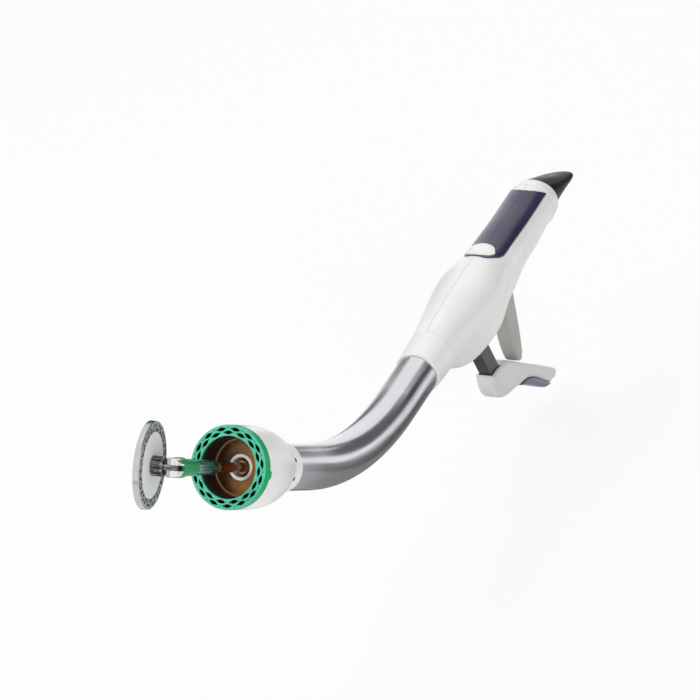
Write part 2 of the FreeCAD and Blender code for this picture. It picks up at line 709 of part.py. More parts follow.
def pad_zone():
    """Space that the soft pad takes on top of the grip, upright and mirrored about the plane."""
    left = [Vector(x, y, PAD_LOWEST) for x, y in PAD_HALF_OUTLINE]
    right = [Vector(p.x, -p.y, PAD_LOWEST) for p in reversed(left[1:-1])]
    face = Part.Face(Part.makePolygon(left + right + left[:1]))
    face.translate(Vector(NOSE_X, 0, 0))
    return face.extrude(Vector(0, 0, 40))


def hump_oval(grow):
    """Upright oval bar around the hump."""
    curve = oval(HUMP_WIDTH / 2 + grow, HUMP_LENGTH / 2 + grow)
    face = Part.Face(Part.Wire(curve.toShape()))
    face.rotate(Vector(0, 0, 0), UP, 90)
    face.translate(Vector(NOSE_X + HUMP_CENTRE, 0, 2))
    return face.extrude(Vector(0, 0, 30))


def hump_cap():
    """White oval button-like dome at the front end of the pad."""
    base = body_form(PAD_THICKNESS)
    top = hump_base_height() + HUMP_HEIGHT
    ball = Part.makeSphere(HUMP_DOME, Vector(NOSE_X + HUMP_CENTRE, 0, top - HUMP_DOME))
    return hump_oval(0).common(ball).cut(base)


def hump_base_height():
    """Height of the shell's outer surface under the middle of the hump."""
    return section_at(HUMP_CENTRE)[1]


def grip_pads():
    """Two halves of the soft blue pad, meeting on top of the grip."""
    layer = body_form(-PAD_PROUD).cut(body_form(PAD_THICKNESS)).common(pad_zone())
    layer = layer.cut(hump_oval(SEAT_CLEARANCE))
    half = PAD_SEAM / 2
    groove = block(NOSE_X, NOSE_X + BODY_END, -half, half, 0, 60)
    layer = layer.cut(groove)
    return half_of(layer, 1), half_of(layer, -1)


def boss(x, z, radius):
    """Post across the whole handle, before it is trimmed by the shell."""
    return cross_rod(x, z, radius, 40)


def handle_shell():
    """Whole hollow handle before it is split, with bosses, slots and seats."""
    outer = body_form(0)
    cavity = body_form(BODY_WALL).common(slab(CAVITY_START, CAVITY_END))
    shell = outer.cut(cavity)
    arm_gap = ARM_THICKNESS / 2 + SLOT_SIDE_GAP
    safety_gap = SAFETY_WIDTH / 2 + SLOT_SIDE_GAP
    posts = [
        boss(LEVER_PIVOT[0], LEVER_PIVOT[1], LEVER_PIN_RADIUS + BOSS_WALL).cut(
            block(NOSE_X, NOSE_X + 150, -arm_gap, arm_gap, -60, 60)),
        boss(SAFETY_PIVOT[0], SAFETY_PIVOT[1], SAFETY_PIN_RADIUS + BOSS_WALL).cut(
            block(NOSE_X, NOSE_X + 150, -safety_gap, safety_gap, -60, 60))]
    for x, z in BODY_SCREW_PLACES:
        posts.append(boss(x, z, BODY_SCREW_RADIUS + BOSS_WALL))
    inside = Part.makeCompound([post.common(outer) for post in posts])
    shell = shell.fuse(inside.Solids)
    cuts = [x_rod(SHAFT_RADIUS + SEAT_CLEARANCE, 0, CAVITY_START + 1),
            x_rod(BUSH_RADIUS + SEAT_CLEARANCE, CAVITY_END - 1, BODY_END + 1),
            pivot_rod(LEVER_PIVOT, LEVER_PIN_RADIUS + SEAT_CLEARANCE, SEAT_CLEARANCE),
            pivot_rod(SAFETY_PIVOT, SAFETY_PIN_RADIUS + SEAT_CLEARANCE, SEAT_CLEARANCE),
            block(NOSE_X + LEVER_SLOT[0], NOSE_X + LEVER_SLOT[1], -arm_gap, arm_gap, -60, -14),
            block(NOSE_X + SAFETY_SLOT[0], NOSE_X + SAFETY_SLOT[1], -safety_gap, safety_gap, -60, -8)]
    cuts += screw_holes()
    shell = shell.cut(Part.makeCompound(cuts))
    pad_space = outer.cut(body_form(PAD_THICKNESS)).common(pad_zone())
    return shell.cut(pad_space)


def screw_holes():
    """Holes and head seats for the screws that join the two shells, from the +Y side."""
    holes = []
    for x, z in BODY_SCREW_PLACES:
        start = Vector(NOSE_X + x, 40, z)
        head = BODY_SCREW_HEAD + SEAT_CLEARANCE
        holes.append(Part.makeCylinder(head, 40 - screw_depth(x, z), start, -ALONG_Y))
        shank = BODY_SCREW_RADIUS + SEAT_CLEARANCE
        holes.append(Part.makeCylinder(shank, 40 + SCREW_BITE + 0.5, start, -ALONG_Y))
    return holes


def section_at(x):
    """Half width, top and bottom of the shell at a distance behind the nose rim."""
    for before, after in zip(BODY_SECTIONS, BODY_SECTIONS[1:]):
        if before[0] <= x <= after[0]:
            share = (x - before[0]) / (after[0] - before[0])
            return [a + share * (b - a) for a, b in zip(before[1:], after[1:])]
    return BODY_SECTIONS[-1][1:]


def shell_reach(x, z):
    """Distance of the shell's outer surface from the symmetry plane at a height."""
    width, top, bottom = section_at(x)
    height = top if z > 0 else bottom
    return width * math.sqrt(1 - (z / height) ** 2)


def screw_depth(x, z):
    """Distance from the symmetry plane to the underside of a screw's head."""
    return shell_reach(x, z) - SCREW_SINK


def body_screws():
    """Screws that hold the shells together, each a separate solid."""
    screws = []
    for x, z in BODY_SCREW_PLACES:
        under = screw_depth(x, z)
        place = Vector(NOSE_X + x, under, z)
        head = Part.makeCylinder(BODY_SCREW_HEAD, SCREW_HEAD_HEIGHT, place, ALONG_Y)
        shank = Part.makeCylinder(BODY_SCREW_RADIUS, SCREW_BITE + under, place, -ALONG_Y)
        top = place + ALONG_Y * (SCREW_HEAD_HEIGHT / 2)
        drive = Part.makeCylinder(SCREW_DRIVE, SCREW_HEAD_HEIGHT, top, ALONG_Y)
        screws.append(head.fuse(shank).cut(drive))
    return Part.makeCompound(screws)


def nose_ring():
    """White cone between the shaft and the handle's shells."""
    bore = SHAFT_RADIUS + SEAT_CLEARANCE
    seam = BODY_SECTIONS[0][1]
    outline = [(bore, 0), (NOSE_FRONT_RADIUS - 0.3, 0), (NOSE_FRONT_RADIUS, 0.3), (seam, NOSE_LENGTH),
               (bore, NOSE_LENGTH)]
    body = turned(outline)
    body.rotate(Vector(0, 0, 0), ALONG_Y, 90)
    body.translate(Vector(NOSE_X, 0, 0))
    return body


def rear_cap():
    """White end cap with a rounded rim and a bore for the screw's journal."""
    loops = [body_loop((BODY_END + section[0],) + section[1:], 0) for section in CAP_SECTIONS]
    body = Part.makeLoft(loops, True, False)
    return body.cut(x_rod(JOURNAL_RADIUS + 0.3, BODY_END - 1, BODY_END + CAP_LENGTH + 1))


# Knob, lead screw and nut

def knob_start():
    """Distance of the knob's base behind the nose rim."""
    return BODY_END + CAP_LENGTH + KNOB_GAP


def adjusting_knob():
    """Black wing knob: round at its base, spreading into a thin rounded blade."""
    base = NOSE_X + knob_start()
    loops = []
    for distance, wide, thick in KNOB_SECTIONS:
        wire = Part.Wire(oval(wide, thick).toShape())
        wire.rotate(Vector(0, 0, 0), UP, 90)
        wire.rotate(Vector(0, 0, 0), ALONG_Y, 90)
        wire.translate(Vector(base + distance, 0, 0))
        loops.append(wire)
    body = Part.makeLoft(loops, True, False)
    bore = Part.makeCylinder(SCREW_RADIUS + SEAT_CLEARANCE, KNOB_BORE + 1, Vector(base - 1, 0, 0), ALONG_X)
    body = body.cut(bore)
    body.rotate(Vector(0, 0, 0), ALONG_X, -KNOB_TWIST)
    return body


def oval(wide, thick):
    """Closed oval about the origin, with its larger half axis along X."""
    if wide > thick:
        return Part.Ellipse(Vector(0, 0, 0), wide, thick)
    return Part.Circle(Vector(0, 0, 0), UP, wide)


def lead_screw():
    """Long screw turned by the knob, with a journal and a thrust collar at the rear bush."""
    screw = x_rod(SCREW_RADIUS, SCREW_START, knob_start() + KNOB_BORE - 0.2)
    journal = x_rod(JOURNAL_RADIUS, CAVITY_END - 1.2, BODY_END + CAP_LENGTH - 0.5)
    collar = x_rod(BUSH_RADIUS - 0.5, CAVITY_END - 3.0, CAVITY_END - 1.2)
    return screw.fuse([journal, collar])


def screw_bush():
    """Bush that carries the lead screw in the rear of the shells."""
    outer = x_rod(BUSH_RADIUS, CAVITY_END - 0.9, BODY_END)
    return outer.cut(x_rod(JOURNAL_RADIUS + RUNNING_CLEARANCE, CAVITY_END - 2, BODY_END + 1))


def screw_nut():
    """Square nut that runs along the lead screw and pulls the band."""
    half = NUT_SIZE / 2
    start = NOSE_X + NUT_START
    body = block(start, start + NUT_LENGTH, -half, half, -half, half)
    bore = x_rod(SCREW_RADIUS + RUNNING_CLEARANCE, NUT_START - 1, NUT_START + NUT_LENGTH + 1)
    seat = BAND_OFFSET - BAND_THICKNESS / 2 - RUNNING_CLEARANCE
    slots = [block(start - 1, start + NUT_FORK, -half - 1, half + 1, z0, z1)
             for z0, z1 in ((seat, half + 1), (-half - 1, -seat))]
    return body.cut(bore).cut(slots)


def guide_bracket():
    """Plate across the handle that holds the rear end of the guide tube."""
    body = body_form(BODY_WALL + SEAT_CLEARANCE).common(slab(BRACKET_START, BRACKET_START + BRACKET_THICKNESS))
    hole = x_rod(GUIDE_RADIUS + SEAT_CLEARANCE, BRACKET_START - 1, BRACKET_START + BRACKET_THICKNESS + 1)
    gap = TONGUE_WIDTH / 2 + SLOT_SIDE_GAP
    path = block(NOSE_X + BRACKET_START - 1, NOSE_X + BRACKET_START + 9, -gap, gap, -60, TONGUE_TOP + 0.4)
    return body.cut(hole).cut(path)


# Firing lever, its drive and the safety catch

def lever_arm():
    """Steel bar from the pivot down into the lever's grip, with the nose that pushes the yoke."""
    half = ARM_THICKNESS / 2
    depth = ARM_DEPTH / 2
    bar = block(-depth, depth, -half, half, -ARM_LENGTH, -1.5)
    bar.rotate(Vector(0, 0, 0), ALONG_Y, -ARM_SLANT)
    eye = Part.makeCylinder(EYE_RADIUS, 2 * half, Vector(0, -half, 0), ALONG_Y)
    dx, dz = roller_start()
    nose = Part.makeCylinder(ROLLER_RADIUS, 2 * half, Vector(dx, -half, dz), ALONG_Y)
    corners = [Vector(dx - ROLLER_RADIUS, -half, dz), Vector(dx + ROLLER_RADIUS, -half, dz),
               Vector(2.6, -half, 0), Vector(0, -half, 0)]
    neck = Part.Face(Part.makePolygon(corners + [corners[0]])).extrude(Vector(0, 2 * half, 0))
    hole = Part.makeCylinder(LEVER_PIN_RADIUS + RUNNING_CLEARANCE, 20, Vector(0, -10, 0), ALONG_Y)
    body = bar.fuse([eye, nose, neck]).cut(hole).removeSplitter()
    body.translate(Vector(NOSE_X + LEVER_PIVOT[0], 0, LEVER_PIVOT[1]))
    return body


GRIP_TOP = (at(62.8, -45.4), at(70.5, -46.0), at(78.6, -48.0), at(93.1, -57.9), at(113.8, -74.0),
            at(131.6, -88.2))
GRIP_END = (at(131.6, -88.2), at(131.2, -90.6), at(127.5, -92.4), at(122.8, -91.3))
GRIP_UNDER = (at(122.8, -91.3), at(115.4, -84.5), at(107.4, -77.2), at(99.6, -72.4), at(90.0, -69.7))
GRIP_TOE = (at(90.0, -69.7), at(78.0, -66.0), at(69.4, -62.6), at(64.0, -57.6), at(62.0, -51.0),
            at(62.8, -45.4))
PAD_UNDER = (at(122.8, -91.3), at(118.0, -90.4), at(112.0, -86.6), at(105.0, -80.8), at(97.0, -74.6),
             at(90.0, -69.7))


def arm_socket():
    """Bar of the lever arm's section, used to open the socket in the grip."""
    half = ARM_THICKNESS / 2 + SEAT_CLEARANCE
    depth = ARM_DEPTH / 2 + SEAT_CLEARANCE
    bar = block(-depth, depth, -half, half, -ARM_LENGTH - 0.1, 0)
    bar.rotate(Vector(0, 0, 0), ALONG_Y, -ARM_SLANT)
    bar.translate(Vector(NOSE_X + LEVER_PIVOT[0], 0, LEVER_PIVOT[1]))
    return bar


def lever_grip():
    """Grey hand lever with a rounded toe and a hollow underside for the pad."""
    outline = smooth_loop([GRIP_TOP, GRIP_END, GRIP_UNDER, GRIP_TOE])
    body = plate(outline, LEVER_GRIP_WIDTH / 2)
    return body.cut(arm_socket())


def lever_pad():
    """Blue finger pad under the rear of the lever."""
    outline = smooth_loop([PAD_UNDER, list(reversed(GRIP_UNDER))])
    return plate(outline, LEVER_GRIP_WIDTH / 2)


def roller_start():
    """Place of the lever's nose above its pivot: forwards and upwards, as stored."""
    lean = math.radians(LEVER_RANGE / 2)
    return ROLLER_ARM * math.sin(lean), ROLLER_ARM * math.cos(lean)


def drive_yoke():
    """Sliding sleeve around the driver tube, with a tongue back to the lever's nose."""
    end = YOKE_START + YOKE_LENGTH
    body = x_rod(YOKE_RADIUS, YOKE_START, end)
    body = body.cut(x_rod(GUIDE_RADIUS + RUNNING_CLEARANCE, YOKE_START - 1, end + 1))
    body = body.cut(x_rod(DRIVER_RADIUS + RUNNING_CLEARANCE, YOKE_START - 1, end - YOKE_WALL))
    reach = LEVER_PIVOT[0] + roller_start()[0] - ROLLER_RADIUS - 0.2
    half = TONGUE_WIDTH / 2
    tongue = block(NOSE_X + end - YOKE_WALL + 0.3, NOSE_X + reach, -half, half, TONGUE_BOTTOM, TONGUE_TOP)
    return body.fuse(tongue)


def pivot_rod(pivot, radius, extra):
    """Cylinder across the handle at a pivot, ending inside the walls of both shells."""
    half = shell_reach(pivot[0], pivot[1]) - PIN_COVER + extra
    return cross_rod(pivot[0], pivot[1], radius, half)


def lever_pin():
    """Pivot pin of the lever, held in both shells."""
    return pivot_rod(LEVER_PIVOT, LEVER_PIN_RADIUS, 0)


def lever_spring():
    """Return spring: coils around the pivot's boss on the +Y side of the arm, with two legs."""
    coil = LEVER_PIN_RADIUS + BOSS_WALL + SPRING_WIRE + 0.15
    rise = SPRING_PITCH / 2
    lean = math.degrees(math.asin(rise / (2 * coil)))
    pieces = []
    for i in range(SPRING_HALF_TURNS):
        half = Part.makeTorus(coil, SPRING_WIRE, Vector(0, 0, 0), UP, 0, 360, 180)
        half.rotate(Vector(0, 0, 0), UP, 180 * i)
        half.rotate(Vector(0, 0, 0), ALONG_Y, lean * (-1) ** i)
        half.translate(Vector(0, 0, rise * (i + 0.5)))
        pieces.append(half)
    end = math.sqrt(coil ** 2 - (rise / 2) ** 2)
    last = end * (-1) ** SPRING_HALF_TURNS
    pieces.append(Part.makeCylinder(SPRING_WIRE, SPRING_LEG, Vector(end, 0, 0), -ALONG_Y))
    pieces.append(Part.makeCylinder(SPRING_WIRE, SPRING_LEG, Vector(last, 0, rise * SPRING_HALF_TURNS), -ALONG_Y))
    body = pieces[0].fuse(pieces[1:])
    body.rotate(Vector(0, 0, 0), ALONG_X, -90)
    side = ARM_THICKNESS / 2 + SLOT_SIDE_GAP + SPRING_WIRE + 0.2
    body.translate(Vector(NOSE_X + LEVER_PIVOT[0], side, LEVER_PIVOT[1]))
    return body


def safety_catch():
    """Grey strut that stands between the handle and the lever and swings back on its pin."""
    px, pz = SAFETY_PIVOT
    front = (at(px - 3.6, pz + 1.0), at(92.2, -20.0), at(90.4, -31.0), at(90.6, -44.0), at(94.2, -57.6))
    toe = (at(94.2, -57.6), at(95.6, -59.0), at(98.2, -59.0), at(99.9, -56.4))
    rear = (at(99.9, -56.4), at(101.2, -42.0), at(101.5, -29.0), at(101.7, -20.0), at(px + 3.8, pz))
    top = (at(px + 3.8, pz), at(px, pz + 3.9), at(px - 3.6, pz + 1.0))
    body = plate(smooth_loop([front, toe, rear, top]), SAFETY_WIDTH / 2)
    hole = cross_rod(px, pz, SAFETY_PIN_RADIUS + RUNNING_CLEARANCE, 20)
    return body.cut(hole)


def safety_pin():
    """Pivot pin of the safety catch."""
    return pivot_rod(SAFETY_PIVOT, SAFETY_PIN_RADIUS, 0)


def build():
    """Make every node of the assembly."""
    os.makedirs("parts", exist_ok=True)
    shell = handle_shell()
    pad_left, pad_right = grip_pads()
    nodes = {
        "anvil_head": tilt(anvil_head()),
        "anvil_washer": tilt(anvil_washer()),
        "anvil_pivot_pin": on_stem(anvil_pivot_pin()),
        "anvil_rod": on_stem(anvil_rod()),
        "anvil_collar": on_stem(anvil_collar()),
        "trocar": in_head(trocar()),
        "cartridge_ring": in_head(cartridge_ring()),
        "staples": in_head(staples()),
        "staple_pusher": in_head(staple_pusher()),
        "circular_knife": in_head(circular_knife()),
        "knife_carrier": in_head(knife_carrier()),
        "trocar_guide": in_head(trocar_guide()),
        "head_housing": in_head(head_housing()),
        "shaft_tube": shaft_tube(),
        "guide_tube": guide_tube(),
        "driver_tube": driver_tube(),
        "draw_bands": draw_bands(),
        "nose_ring": nose_ring(),
        "body_left": half_of(shell, 1),
        "body_right": half_of(shell, -1),
        "grip_pad_left": pad_left,
        "grip_pad_right": pad_right,
        "hump_cap": hump_cap(),
        "rear_cap": rear_cap(),
        "body_screws": body_screws(),
        "guide_bracket": guide_bracket(),
        "screw_bush": screw_bush(),
        "adjusting_knob": adjusting_knob(),
        "lead_screw": lead_screw(),
        "screw_nut": screw_nut(),
        "drive_yoke": drive_yoke(),
        "lever_arm": lever_arm(),
        "lever_grip": lever_grip(),
        "lever_pad": lever_pad(),
        "lever_pin": lever_pin(),
        "lever_spring": lever_spring(),
        "safety_catch": safety_catch(),
        "safety_pin": safety_pin(),
    }
    for name, shape in nodes.items():
        save(name, shape)
        print(name, len(shape.Solids), round(shape.Volume, 1), shape.isValid())


build()
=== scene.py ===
import logging
import math
from dataclasses import dataclass
from enum import Enum
from typing import Any, Callable, Dict, Optional, Sequence, Tuple, Union

import bpy
import numpy as np
from mathutils import Matrix, Vector


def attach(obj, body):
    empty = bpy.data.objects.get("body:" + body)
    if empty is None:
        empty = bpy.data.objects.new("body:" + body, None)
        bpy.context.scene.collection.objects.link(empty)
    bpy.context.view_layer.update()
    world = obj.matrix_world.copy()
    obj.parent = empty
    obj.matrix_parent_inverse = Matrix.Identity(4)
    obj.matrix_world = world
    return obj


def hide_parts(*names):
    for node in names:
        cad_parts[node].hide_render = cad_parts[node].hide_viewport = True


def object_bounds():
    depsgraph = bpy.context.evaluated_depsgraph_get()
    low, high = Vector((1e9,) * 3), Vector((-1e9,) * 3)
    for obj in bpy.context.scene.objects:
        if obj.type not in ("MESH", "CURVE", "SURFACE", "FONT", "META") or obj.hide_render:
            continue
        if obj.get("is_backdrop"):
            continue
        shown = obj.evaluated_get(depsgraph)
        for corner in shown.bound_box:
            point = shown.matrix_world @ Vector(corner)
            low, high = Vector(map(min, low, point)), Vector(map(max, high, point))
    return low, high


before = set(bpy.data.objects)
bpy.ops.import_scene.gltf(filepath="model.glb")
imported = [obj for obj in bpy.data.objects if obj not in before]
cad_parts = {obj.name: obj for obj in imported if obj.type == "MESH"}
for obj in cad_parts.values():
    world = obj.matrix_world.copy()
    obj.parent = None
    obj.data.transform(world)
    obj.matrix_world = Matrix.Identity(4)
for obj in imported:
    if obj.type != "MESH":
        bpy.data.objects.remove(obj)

LOG = logging.getLogger("stapler")

Material = bpy.types.Material
Colour = Tuple[float, float, float]
Point = Tuple[float, float, float]
Number = Union[float, "Signal"]
Flat = Tuple[float, float]
Run = Tuple[Flat, ...]

MM = 0.001
WHITE = (1.0, 1.0, 1.0, 1.0)

# The instrument's own frame, in metres: the handle lies along X, and its nose rim is at NOSE_X.
NOSE_X = -0.112
BEND_START_X = NOSE_X - 0.02546
BEND_RADIUS = 0.1355
BEND_ANGLE = math.radians(36.8)
FRONT_RUN = 0.0248
HEAD_LENGTH = 0.045
BEND_START = np.array([BEND_START_X, 0.0, 0.0])
HEAD_AXIS = np.array([-math.cos(BEND_ANGLE), 0.0, math.sin(BEND_ANGLE)])
HEAD_UP = np.array([math.sin(BEND_ANGLE), 0.0, math.cos(BEND_ANGLE)])
BEND_END = BEND_START + BEND_RADIUS * np.array(
    [-math.sin(BEND_ANGLE), 0.0, 1 - math.cos(BEND_ANGLE)])
FACE_CENTRE = BEND_END + HEAD_AXIS * (FRONT_RUN + HEAD_LENGTH)
TUBE_RADIUS = 0.0098
SHELL_START = NOSE_X + 0.0165
SHELL_END = NOSE_X + 0.145
HINGE_CENTRE = FACE_CENTRE + HEAD_AXIS * 0.043
ANVIL_TILT = math.radians(77.3)
ANVIL_AXIS = HEAD_AXIS * math.cos(ANVIL_TILT) + np.array([0.0, math.sin(ANVIL_TILT), 0.0])
ANVIL_FACE = 0.0082
ARM_PIVOT = (NOSE_X + 0.057, -0.015)
ARM_SLANT = math.radians(21.0)

# Parting lines of the mouldings, and the scale of finger smudges on metal in cells per metre.
SEAM_WIDTH = 0.00025
SEAM_SHADE = (0.56, 0.56, 0.55)
SMUDGE_SCALE = 170.0


def scaled(colour: Colour, factor: float) -> Colour:
    """A colour with each part times a factor."""
    return tuple(part * factor for part in colour)


def _operator(operation: str, swapped: bool = False) -> Callable[["Signal", Number], "Signal"]:
    """An operator that adds one Math node, with its operands swapped if asked."""

    def apply(signal: "Signal", other: Number) -> "Signal":
        pair = (other, signal) if swapped else (signal, other)
        return signal.graph.math(operation, *pair)

    return apply


class Signal:
    """A shader socket that takes part in Python expressions.

    Args:
        graph: The node graph that the socket belongs to.
        socket: The output socket that carries the value.
    """

    def __init__(self, graph: "Graph", socket: bpy.types.NodeSocket) -> None:
        self.graph = graph
        self.socket = socket

    __add__ = _operator("ADD")
    __radd__ = _operator("ADD", swapped=True)
    __sub__ = _operator("SUBTRACT")
    __rsub__ = _operator("SUBTRACT", swapped=True)
    __mul__ = _operator("MULTIPLY")
    __rmul__ = _operator("MULTIPLY", swapped=True)
    above = _operator("GREATER_THAN")

    def __neg__(self) -> "Signal":
        """Opposite."""
        return self * -1.0

    def __abs__(self) -> "Signal":
        """Size without sign."""
        return self.graph.math("ABSOLUTE", self)

    def swing(self, amount: float) -> "Signal":
        """How far a value between 0 and 1 is from its middle, times an amount."""
        return (self - 0.5) * amount

    def clamped(self) -> "Signal":
        """The value kept between 0 and 1."""
        return self.graph.node("ShaderNodeClamp", inputs={"Value": self})

    def ramp(self, low: float, high: float) -> "Signal":
        """0 at one value, 1 at another, straight and clamped between them."""
        settings = {"clamp": True}
        inputs = {"Value": self, "From Min": low, "From Max": high}
        return self.graph.node("ShaderNodeMapRange", settings, inputs)


class Graph:
    """The node graph of one material or world, with one way to add any node.

    Args:
        owner: A new material or world.
    """

    def __init__(self, owner: Union[Material, bpy.types.World]) -> None:
        self.owner = owner
        owner.use_nodes = True
        self.tree = owner.node_tree
        self.tree.nodes.clear()
        kind = "World" if isinstance(owner, bpy.types.World) else "Material"
        self.output = self.tree.nodes.new(f"ShaderNodeOutput{kind}")

    def node(self, kind: str, settings: Optional[Dict[str, Any]] = None,
             inputs: Optional[Dict[Union[str, int], Any]] = None,
             out: Union[int, str] = 0) -> Signal:
        """Add a node.

        Args:
            kind: Blender's name of the node type.
            settings: Properties set before the sockets.
            inputs: Values or signals for input sockets, by name or index.
            out: The output socket that is returned.

        Returns:
            The chosen output as a signal.
        """
        made = self.tree.nodes.new(kind)
        for key, value in (settings or {}).items():
            setattr(made, key, value)
        for key, value in (inputs or {}).items():
            socket = made.inputs[key]
            if isinstance(value, Signal):
                self.tree.links.new(value.socket, socket)
            else:
                socket.default_value = value
        return Signal(self, made.outputs[out])

    def math(self, operation: str, *operands: Number) -> Signal:
        """Add a Math node on numbers or signals."""
        return self.node("ShaderNodeMath", {"operation": operation}, dict(enumerate(operands)))

    def place(self) -> Signal:
        """Object coordinates in metres."""
        return self.node("ShaderNodeTexCoord", out="Object")

    def axes(self) -> Tuple[Signal, Signal, Signal]:
        """The three parts of the object coordinates."""
        split = self.node("ShaderNodeSeparateXYZ", inputs={0: self.place()})
        x, y, z = (Signal(self, output) for output in split.socket.node.outputs)
        return x, y, z

    def noise(self, scale: float, detail: float = 3.0, vector: Optional[Signal] = None) -> Signal:
        """Fractal noise between 0 and 1; scale is in cells per metre or per unit of the vector."""
        inputs = {"Vector": vector or self.place(), "Scale": scale, "Detail": detail}
        return self.node("ShaderNodeTexNoise", inputs=inputs)

    def streaks(self, detail: float, x: Number, y: Number, z: Number = 0.0) -> Signal:
        """Noise drawn out into streaks: each part of its vector is in cells of its own."""
        vector = self.node("ShaderNodeCombineXYZ", inputs={0: x, 1: y, 2: z})
        return self.noise(1.0, detail, vector)

    def cells(self, scale: float) -> Signal:
        """Distance to the nearest of scattered points, for pebbled surfaces."""
        return self.node("ShaderNodeTexVoronoi", inputs={"Vector": self.place(), "Scale": scale})

    def mixed(self, factor: Number, first: Union[Colour, Signal],
              second: Union[Colour, Signal]) -> Signal:
        """Colour between two colours; factor 0 gives the first."""
        ends = [c if isinstance(c, Signal) else (*c, 1.0) for c in (first, second)]
        settings = {"data_type": "RGBA"}
        return self.node("ShaderNodeMix", settings, {0: factor, 6: ends[0], 7: ends[1]}, out=2)

    def bump(self, height: Signal, distance: float, strength: float = 1.0) -> Signal:
        """Normal that follows a height field, whose 1 stands for the distance in metres."""
        inputs = {"Height": height, "Distance": distance, "Strength": strength}
        return self.node("ShaderNodeBump", inputs=inputs)

    def end(self, shader: Signal) -> Union[Material, bpy.types.World]:
        """Let a shader make the surface, and return the graph's owner."""
        self.tree.links.new(shader.socket, self.output.inputs["Surface"])
        return self.owner

    def finish(self, **sockets: Any) -> Material:
        """End the graph in a Principled shader.

        Args:
            **sockets: Input sockets by name, with underscores for spaces.

        Returns:
            The finished material.
        """
        inputs = {key.replace("_", " "): value for key, value in sockets.items()}
        return self.end(self.node("ShaderNodeBsdfPrincipled", inputs=inputs))


# Materials made so far, by the names of their finishes.
MADE: Dict[str, Material] = {}


@dataclass(frozen=True)
class Finish:
    """A surface finish; each kind builds its own material once."""

    name: str

    def material(self) -> Material:
        """The finish's material, made on first use."""
        if self.name not in MADE:
            MADE[self.name] = self.build(Graph(bpy.data.materials.new(f"{self.name}_finish")))
        return MADE[self.name]

    def build(self, graph: Graph) -> Material:
        """Build the node graph; each finish has its own."""
        raise NotImplementedError


@dataclass(frozen=True)
class MouldedPlastic(Finish):
    """Injection-moulded plastic with faint flow mottling, spark-eroded grain and handling marks.

    Seams are the places along X of its joints, and parted gives it a line on the symmetry plane.
    """

    colour: Colour
    roughness: float = 0.32
    coat: float = 0.15
    mottling: float = 0.03
    grain: float = 0.000012
    seams: Tuple[float, ...] = ()
    parted: bool = False
    gloss: float = 0.5
    coat_roughness: float = 0.12
    grain_scale: float = 3200.0
    marks_scale: float = 240.0
    drift_scale: float = 38.0

    def toned(self, graph: Graph) -> Signal:
        """The piece's colour, drifting with large noise and darker in the seams."""
        drift = graph.noise(self.drift_scale, 2.0)
        darker = scaled(self.colour, 1 - 3 * self.mottling)
        colour = graph.mixed(drift.ramp(0.35, 0.75) * 0.6, self.colour, darker)
        x, y, _ = graph.axes()
        lines = [abs(x - place) for place in self.seams]
        if self.parted:
            lines.append(abs(y))
        for line in lines:
            in_seam = 1.0 - line.ramp(0.4 * SEAM_WIDTH, SEAM_WIDTH)
            colour = graph.mixed(in_seam, colour, SEAM_SHADE)
        return colour

    def build(self, graph: Graph) -> Material:
        """Roughness follows streaks, and the grain is a fine bump."""
        colour = self.toned(graph)
        fine = graph.noise(self.grain_scale, 2.0)
        marks = graph.noise(self.marks_scale, 5.0)
        rough = self.roughness + marks.swing(0.14) + fine.swing(0.05)
        height = fine * 0.8 + marks * 0.5
        return graph.finish(Base_Color=colour, Roughness=rough, Coat_Weight=self.coat,
                            Coat_Roughness=self.coat_roughness, Specular_IOR_Level=self.gloss,
                            Normal=graph.bump(height, self.grain))


@dataclass(frozen=True)
class RingPlastic(MouldedPlastic):
    """Green plastic of the cartridge: a paler face, a deep skirt and staple slots with painted
    shade.
    """

    face: Colour = (0.085, 0.52, 0.34)
    painted_slot_shade: Colour = (0.002, 0.022, 0.010)
    slot_inner: float = 0.01255
    slot_outer: float = 0.01645
    face_depth: Flat = (-0.00042, -0.00022)

    def toned(self, graph: Graph) -> Signal:
        """The face is what lies near the front; the slots lie deeper, inside the skirt, and get
        painted shade.
        """
        ahead, radius, _ = head_coordinates(graph)
        drift = graph.noise(90.0, 3.0)
        worn = tuple(min(1.0, c * 1.3 + 0.02) for c in self.face)
        face = graph.mixed(drift.ramp(0.4, 0.8) * 0.5, self.face, worn)
        skirt = graph.mixed(drift.ramp(0.3, 0.8) * 0.4, self.colour, scaled(self.colour, 0.75))
        # Painted shade: the staple slots inside the skirt take a near-black green.
        in_slots = radius.above(self.slot_inner) * (1.0 - radius.above(self.slot_outer))
        behind = graph.mixed(in_slots, skirt, self.painted_slot_shade)
        return graph.mixed(ahead.ramp(*self.face_depth), behind, face)


@dataclass(frozen=True)
class HousingPlastic(MouldedPlastic):
    """White plastic of the head, with painted shade inside the latch holes of its neck."""

    painted_hole_shade: Colour = (0.02, 0.02, 0.02)
    hole_depth: float = 0.01025
    neck_end: float = -0.0445

    def toned(self, graph: Graph) -> Signal:
        """The holes' walls are what lies inside the neck's outer radius; they get painted shade."""
        colour = super().toned(graph)
        ahead, radius, _ = head_coordinates(graph)
        walls = (1.0 - radius.above(self.hole_depth)) * ahead.above(self.neck_end)
        # Painted shade: the hole walls take a near-black colour.
        return graph.mixed(walls, colour, self.painted_hole_shade)


